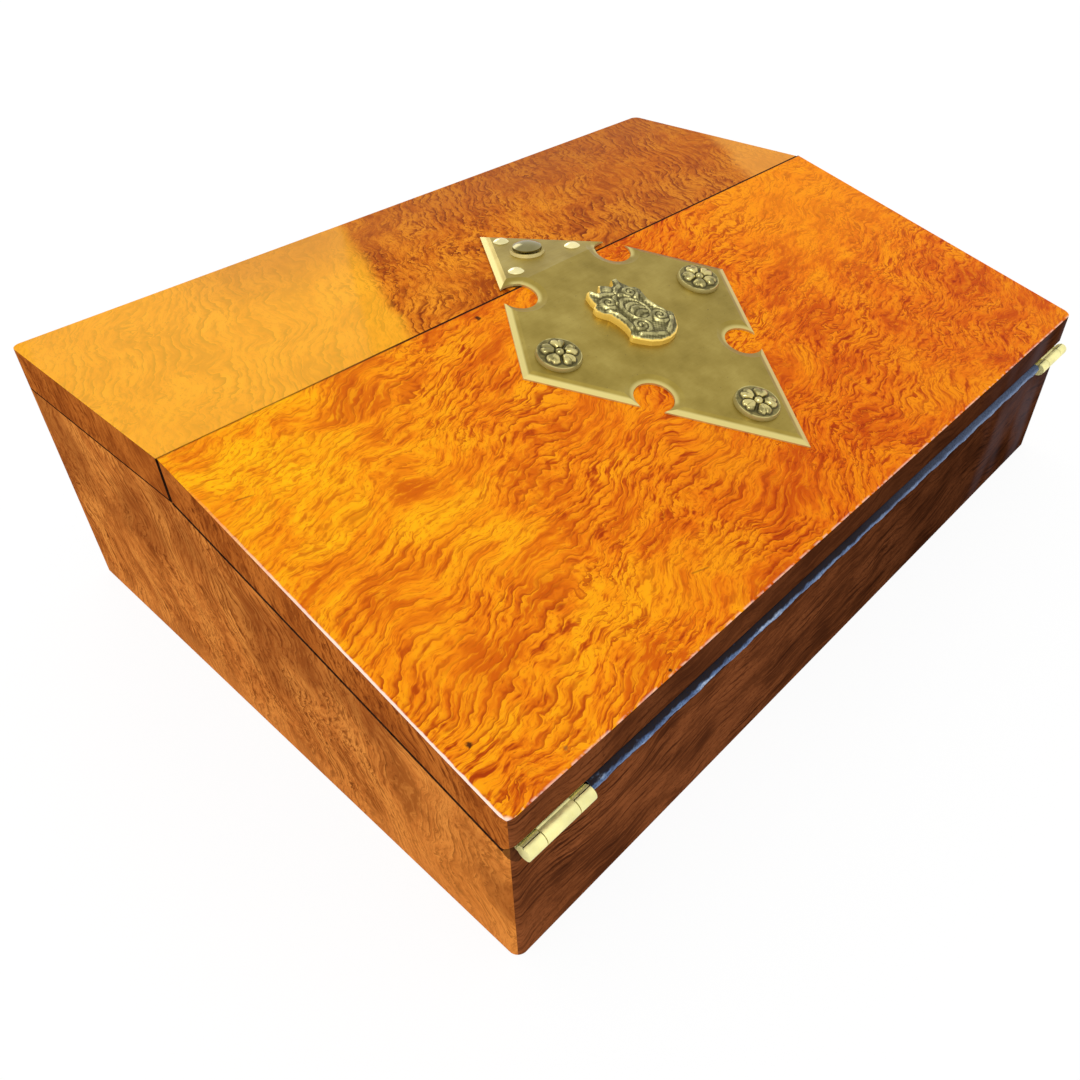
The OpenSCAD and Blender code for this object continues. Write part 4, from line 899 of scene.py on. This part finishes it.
def sloped_sheet(name, node, material, slot, body, across=60, rows=30):
    """A sheet where a thin CAD sheet lies, along that sheet's own slope."""
    co = np.array([v.co for v in nodes[node].data.vertices]) / MM
    x0, x1 = co[:, 0].min(), co[:, 0].max()
    y0, y1 = co[:, 1].min(), co[:, 1].max()
    z0 = co[co[:, 1] < y0 + 0.01, 2]
    z1 = co[co[:, 1] > y1 - 0.01, 2]
    front, rear = (z0.min() + z0.max()) / 2, (z1.min() + z1.max()) / 2
    thick = (z0.max() - z0.min()) * math.cos(math.atan2(rear - front, y1 - y0))
    t = np.linspace(0, 1, rows)
    path = np.c_[y0 + (y1 - y0) * t, front + (rear - front) * t]
    a = math.atan2(rear - front, y1 - y0)
    normals = [(-math.sin(a), math.cos(a))] * rows
    made = strip(name, path, normals, (x1 - x0) / 2, across, thick * 0.96, material, slot)
    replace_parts(made, node)
    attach(made, body)
    return made


sloped_sheet("writing_velvet_base", "panel_velvet", blue_pile, "blue_velvet", "panel")
sloped_sheet("writing_velvet_flap", "flap_velvet", blue_pile, "blue_velvet", "front_flap")
sloped_sheet("ribbon_tab", "lifting_tab", silk, "ribbon", "panel", across=12, rows=12)


def lid_lining():
    """The lining under the lid, cut out round the catch."""
    low, high = (np.array(c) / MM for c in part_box("lid_lining"))
    notch_x, notch_y = 7.0, 50.9
    z0, z1 = low[2] + 0.02, high[2] - 0.02
    loop = [(low[0], low[1]), (-notch_x, low[1]), (-notch_x, notch_y), (notch_x, notch_y), (notch_x, low[1]),
            (high[0], low[1]), (high[0], high[1]), (low[0], high[1])]
    points = [np.array((x, y, z)) * MM for z in (z0, z1) for x, y in loop]
    n = len(loop)
    faces = [tuple(range(n - 1, -1, -1)), tuple(range(n, 2 * n))]
    faces += [(i, (i + 1) % n, n + (i + 1) % n, n + i) for i in range(n)]
    made = piece("lid_velvet", points, faces, blue_pile, "blue_velvet", "rear_lid", smooth=False)
    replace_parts(made, "lid_lining")


lid_lining()


def fold():
    """The velvet at the front hinge line: two flat legs in the split, a crumpled roll between them."""
    inner = 11.6 / math.cos(SPLIT_A) - 0.2
    leg = HALF_GAP / MM + VELVET_T / MM / 2
    mid, r = FOLD_MID / MM, FOLD_R / MM
    open_a = math.asin(min(1, leg / r))
    start = mid + r * math.cos(open_a)
    arc = np.linspace(-open_a, -2 * math.pi + open_a, 34)
    local = [(y, -leg) for y in np.linspace(inner, start + 0.1, 12)]
    local += [(mid + r * math.cos(a), r * math.sin(a)) for a in arc]
    local += [(y, leg) for y in np.linspace(start + 0.1, inner, 12)]
    local = np.array(local)
    tangent = np.gradient(local, axis=0)
    tangent /= np.linalg.norm(tangent, axis=1)[:, None]
    c, s = math.cos(SPLIT_A), math.sin(SPLIT_A)
    turn = np.array(((c, -s), (s, c)))
    centre = np.array((FRONT_AXIS.y, FRONT_AXIS.z)) / MM
    path = local @ turn.T + centre
    normals = np.c_[-tangent[:, 1], tangent[:, 0]] @ turn.T
    made = strip("velvet_fold", path, normals, FOLD_HALF / MM, 300, 0.5, fold_pile, "blue_velvet",
                 crumple=0.28)
    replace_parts(made, "hinge_cloth")
    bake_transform(made)


fold()


# Stage and light
def backdrop():
    g = Graph("studio_floor")
    g.set(Base_Color=(0.93, 0.93, 0.93, 1), Roughness=0.9)
    g.shader.inputs["Specular IOR Level"].default_value = 0.1
    rays = g.tree.nodes.new("ShaderNodeLightPath").outputs
    seen = g.plus(rays["Is Camera Ray"], rays["Is Glossy Ray"], rays["Is Transmission Ray"])
    white = g.tree.nodes.new("ShaderNodeEmission")
    mixed = g.tree.nodes.new("ShaderNodeMixShader")
    g.put(mixed.inputs[0], g.math("MULTIPLY", seen, 0.88, clamp=True))
    g.tree.links.new(g.shader.outputs[0], mixed.inputs[1])
    g.tree.links.new(white.outputs[0], mixed.inputs[2])
    g.tree.links.new(mixed.outputs[0], g.tree.nodes["Material Output"].inputs["Surface"])
    mesh = bpy.data.meshes.new("floor")
    s, z = 6.0, -0.0002
    mesh.from_pydata([(-s, -s, z), (s, -s, z), (s, s, z), (-s, s, z)], [], [(0, 1, 2, 3)])
    mesh.materials.append(g.material)
    floor = bpy.data.objects.new("floor", mesh)
    bpy.context.scene.collection.objects.link(floor)


def light(name, kind, place, aim, power, size=1.0, height=None, colour=(1, 1, 1)):
    data = bpy.data.lights.new(name, kind)
    data.energy = power
    data.color = colour
    if kind == "AREA":
        data.shape = "RECTANGLE"
        data.size = size
        data.size_y = height or size
    else:
        data.angle = size
    made = bpy.data.objects.new(name, data)
    made.location = place
    made.rotation_euler = (Vector(aim) - Vector(place)).to_track_quat("-Z", "Y").to_euler()
    bpy.context.scene.collection.objects.link(made)
    return made


def white_world():
    """A white studio, a little dimmer as a light than as what is seen and mirrored."""
    world = bpy.data.worlds.new("studio")
    bpy.context.scene.world = world
    world.use_nodes = True
    tree = world.node_tree
    background = tree.nodes["Background"]
    background.inputs["Color"].default_value = (1, 1, 1, 1)
    rays = tree.nodes.new("ShaderNodeLightPath").outputs
    seen = rays["Is Camera Ray"]
    for other in ("Is Glossy Ray", "Is Transmission Ray"):
        total = tree.nodes.new("ShaderNodeMath")
        tree.links.new(seen, total.inputs[0])
        tree.links.new(rays[other], total.inputs[1])
        seen = total.outputs[0]
    strength = tree.nodes.new("ShaderNodeMapRange")
    tree.links.new(seen, strength.inputs["Value"])
    strength.inputs["To Min"].default_value = 0.8
    strength.inputs["To Max"].default_value = 1.0
    tree.links.new(strength.outputs[0], background.inputs["Strength"])


backdrop()
white_world()
light("key", "SUN", (-0.75, -0.35, 1.5), (0, 0, 0), 1.3, size=0.12)
light("card", "AREA", (0.62, 1.75, 1.0), (-0.05, 0.07, 0.107), 4, size=0.75, height=0.8)
bpy.context.scene.view_settings.view_transform = "Standard"
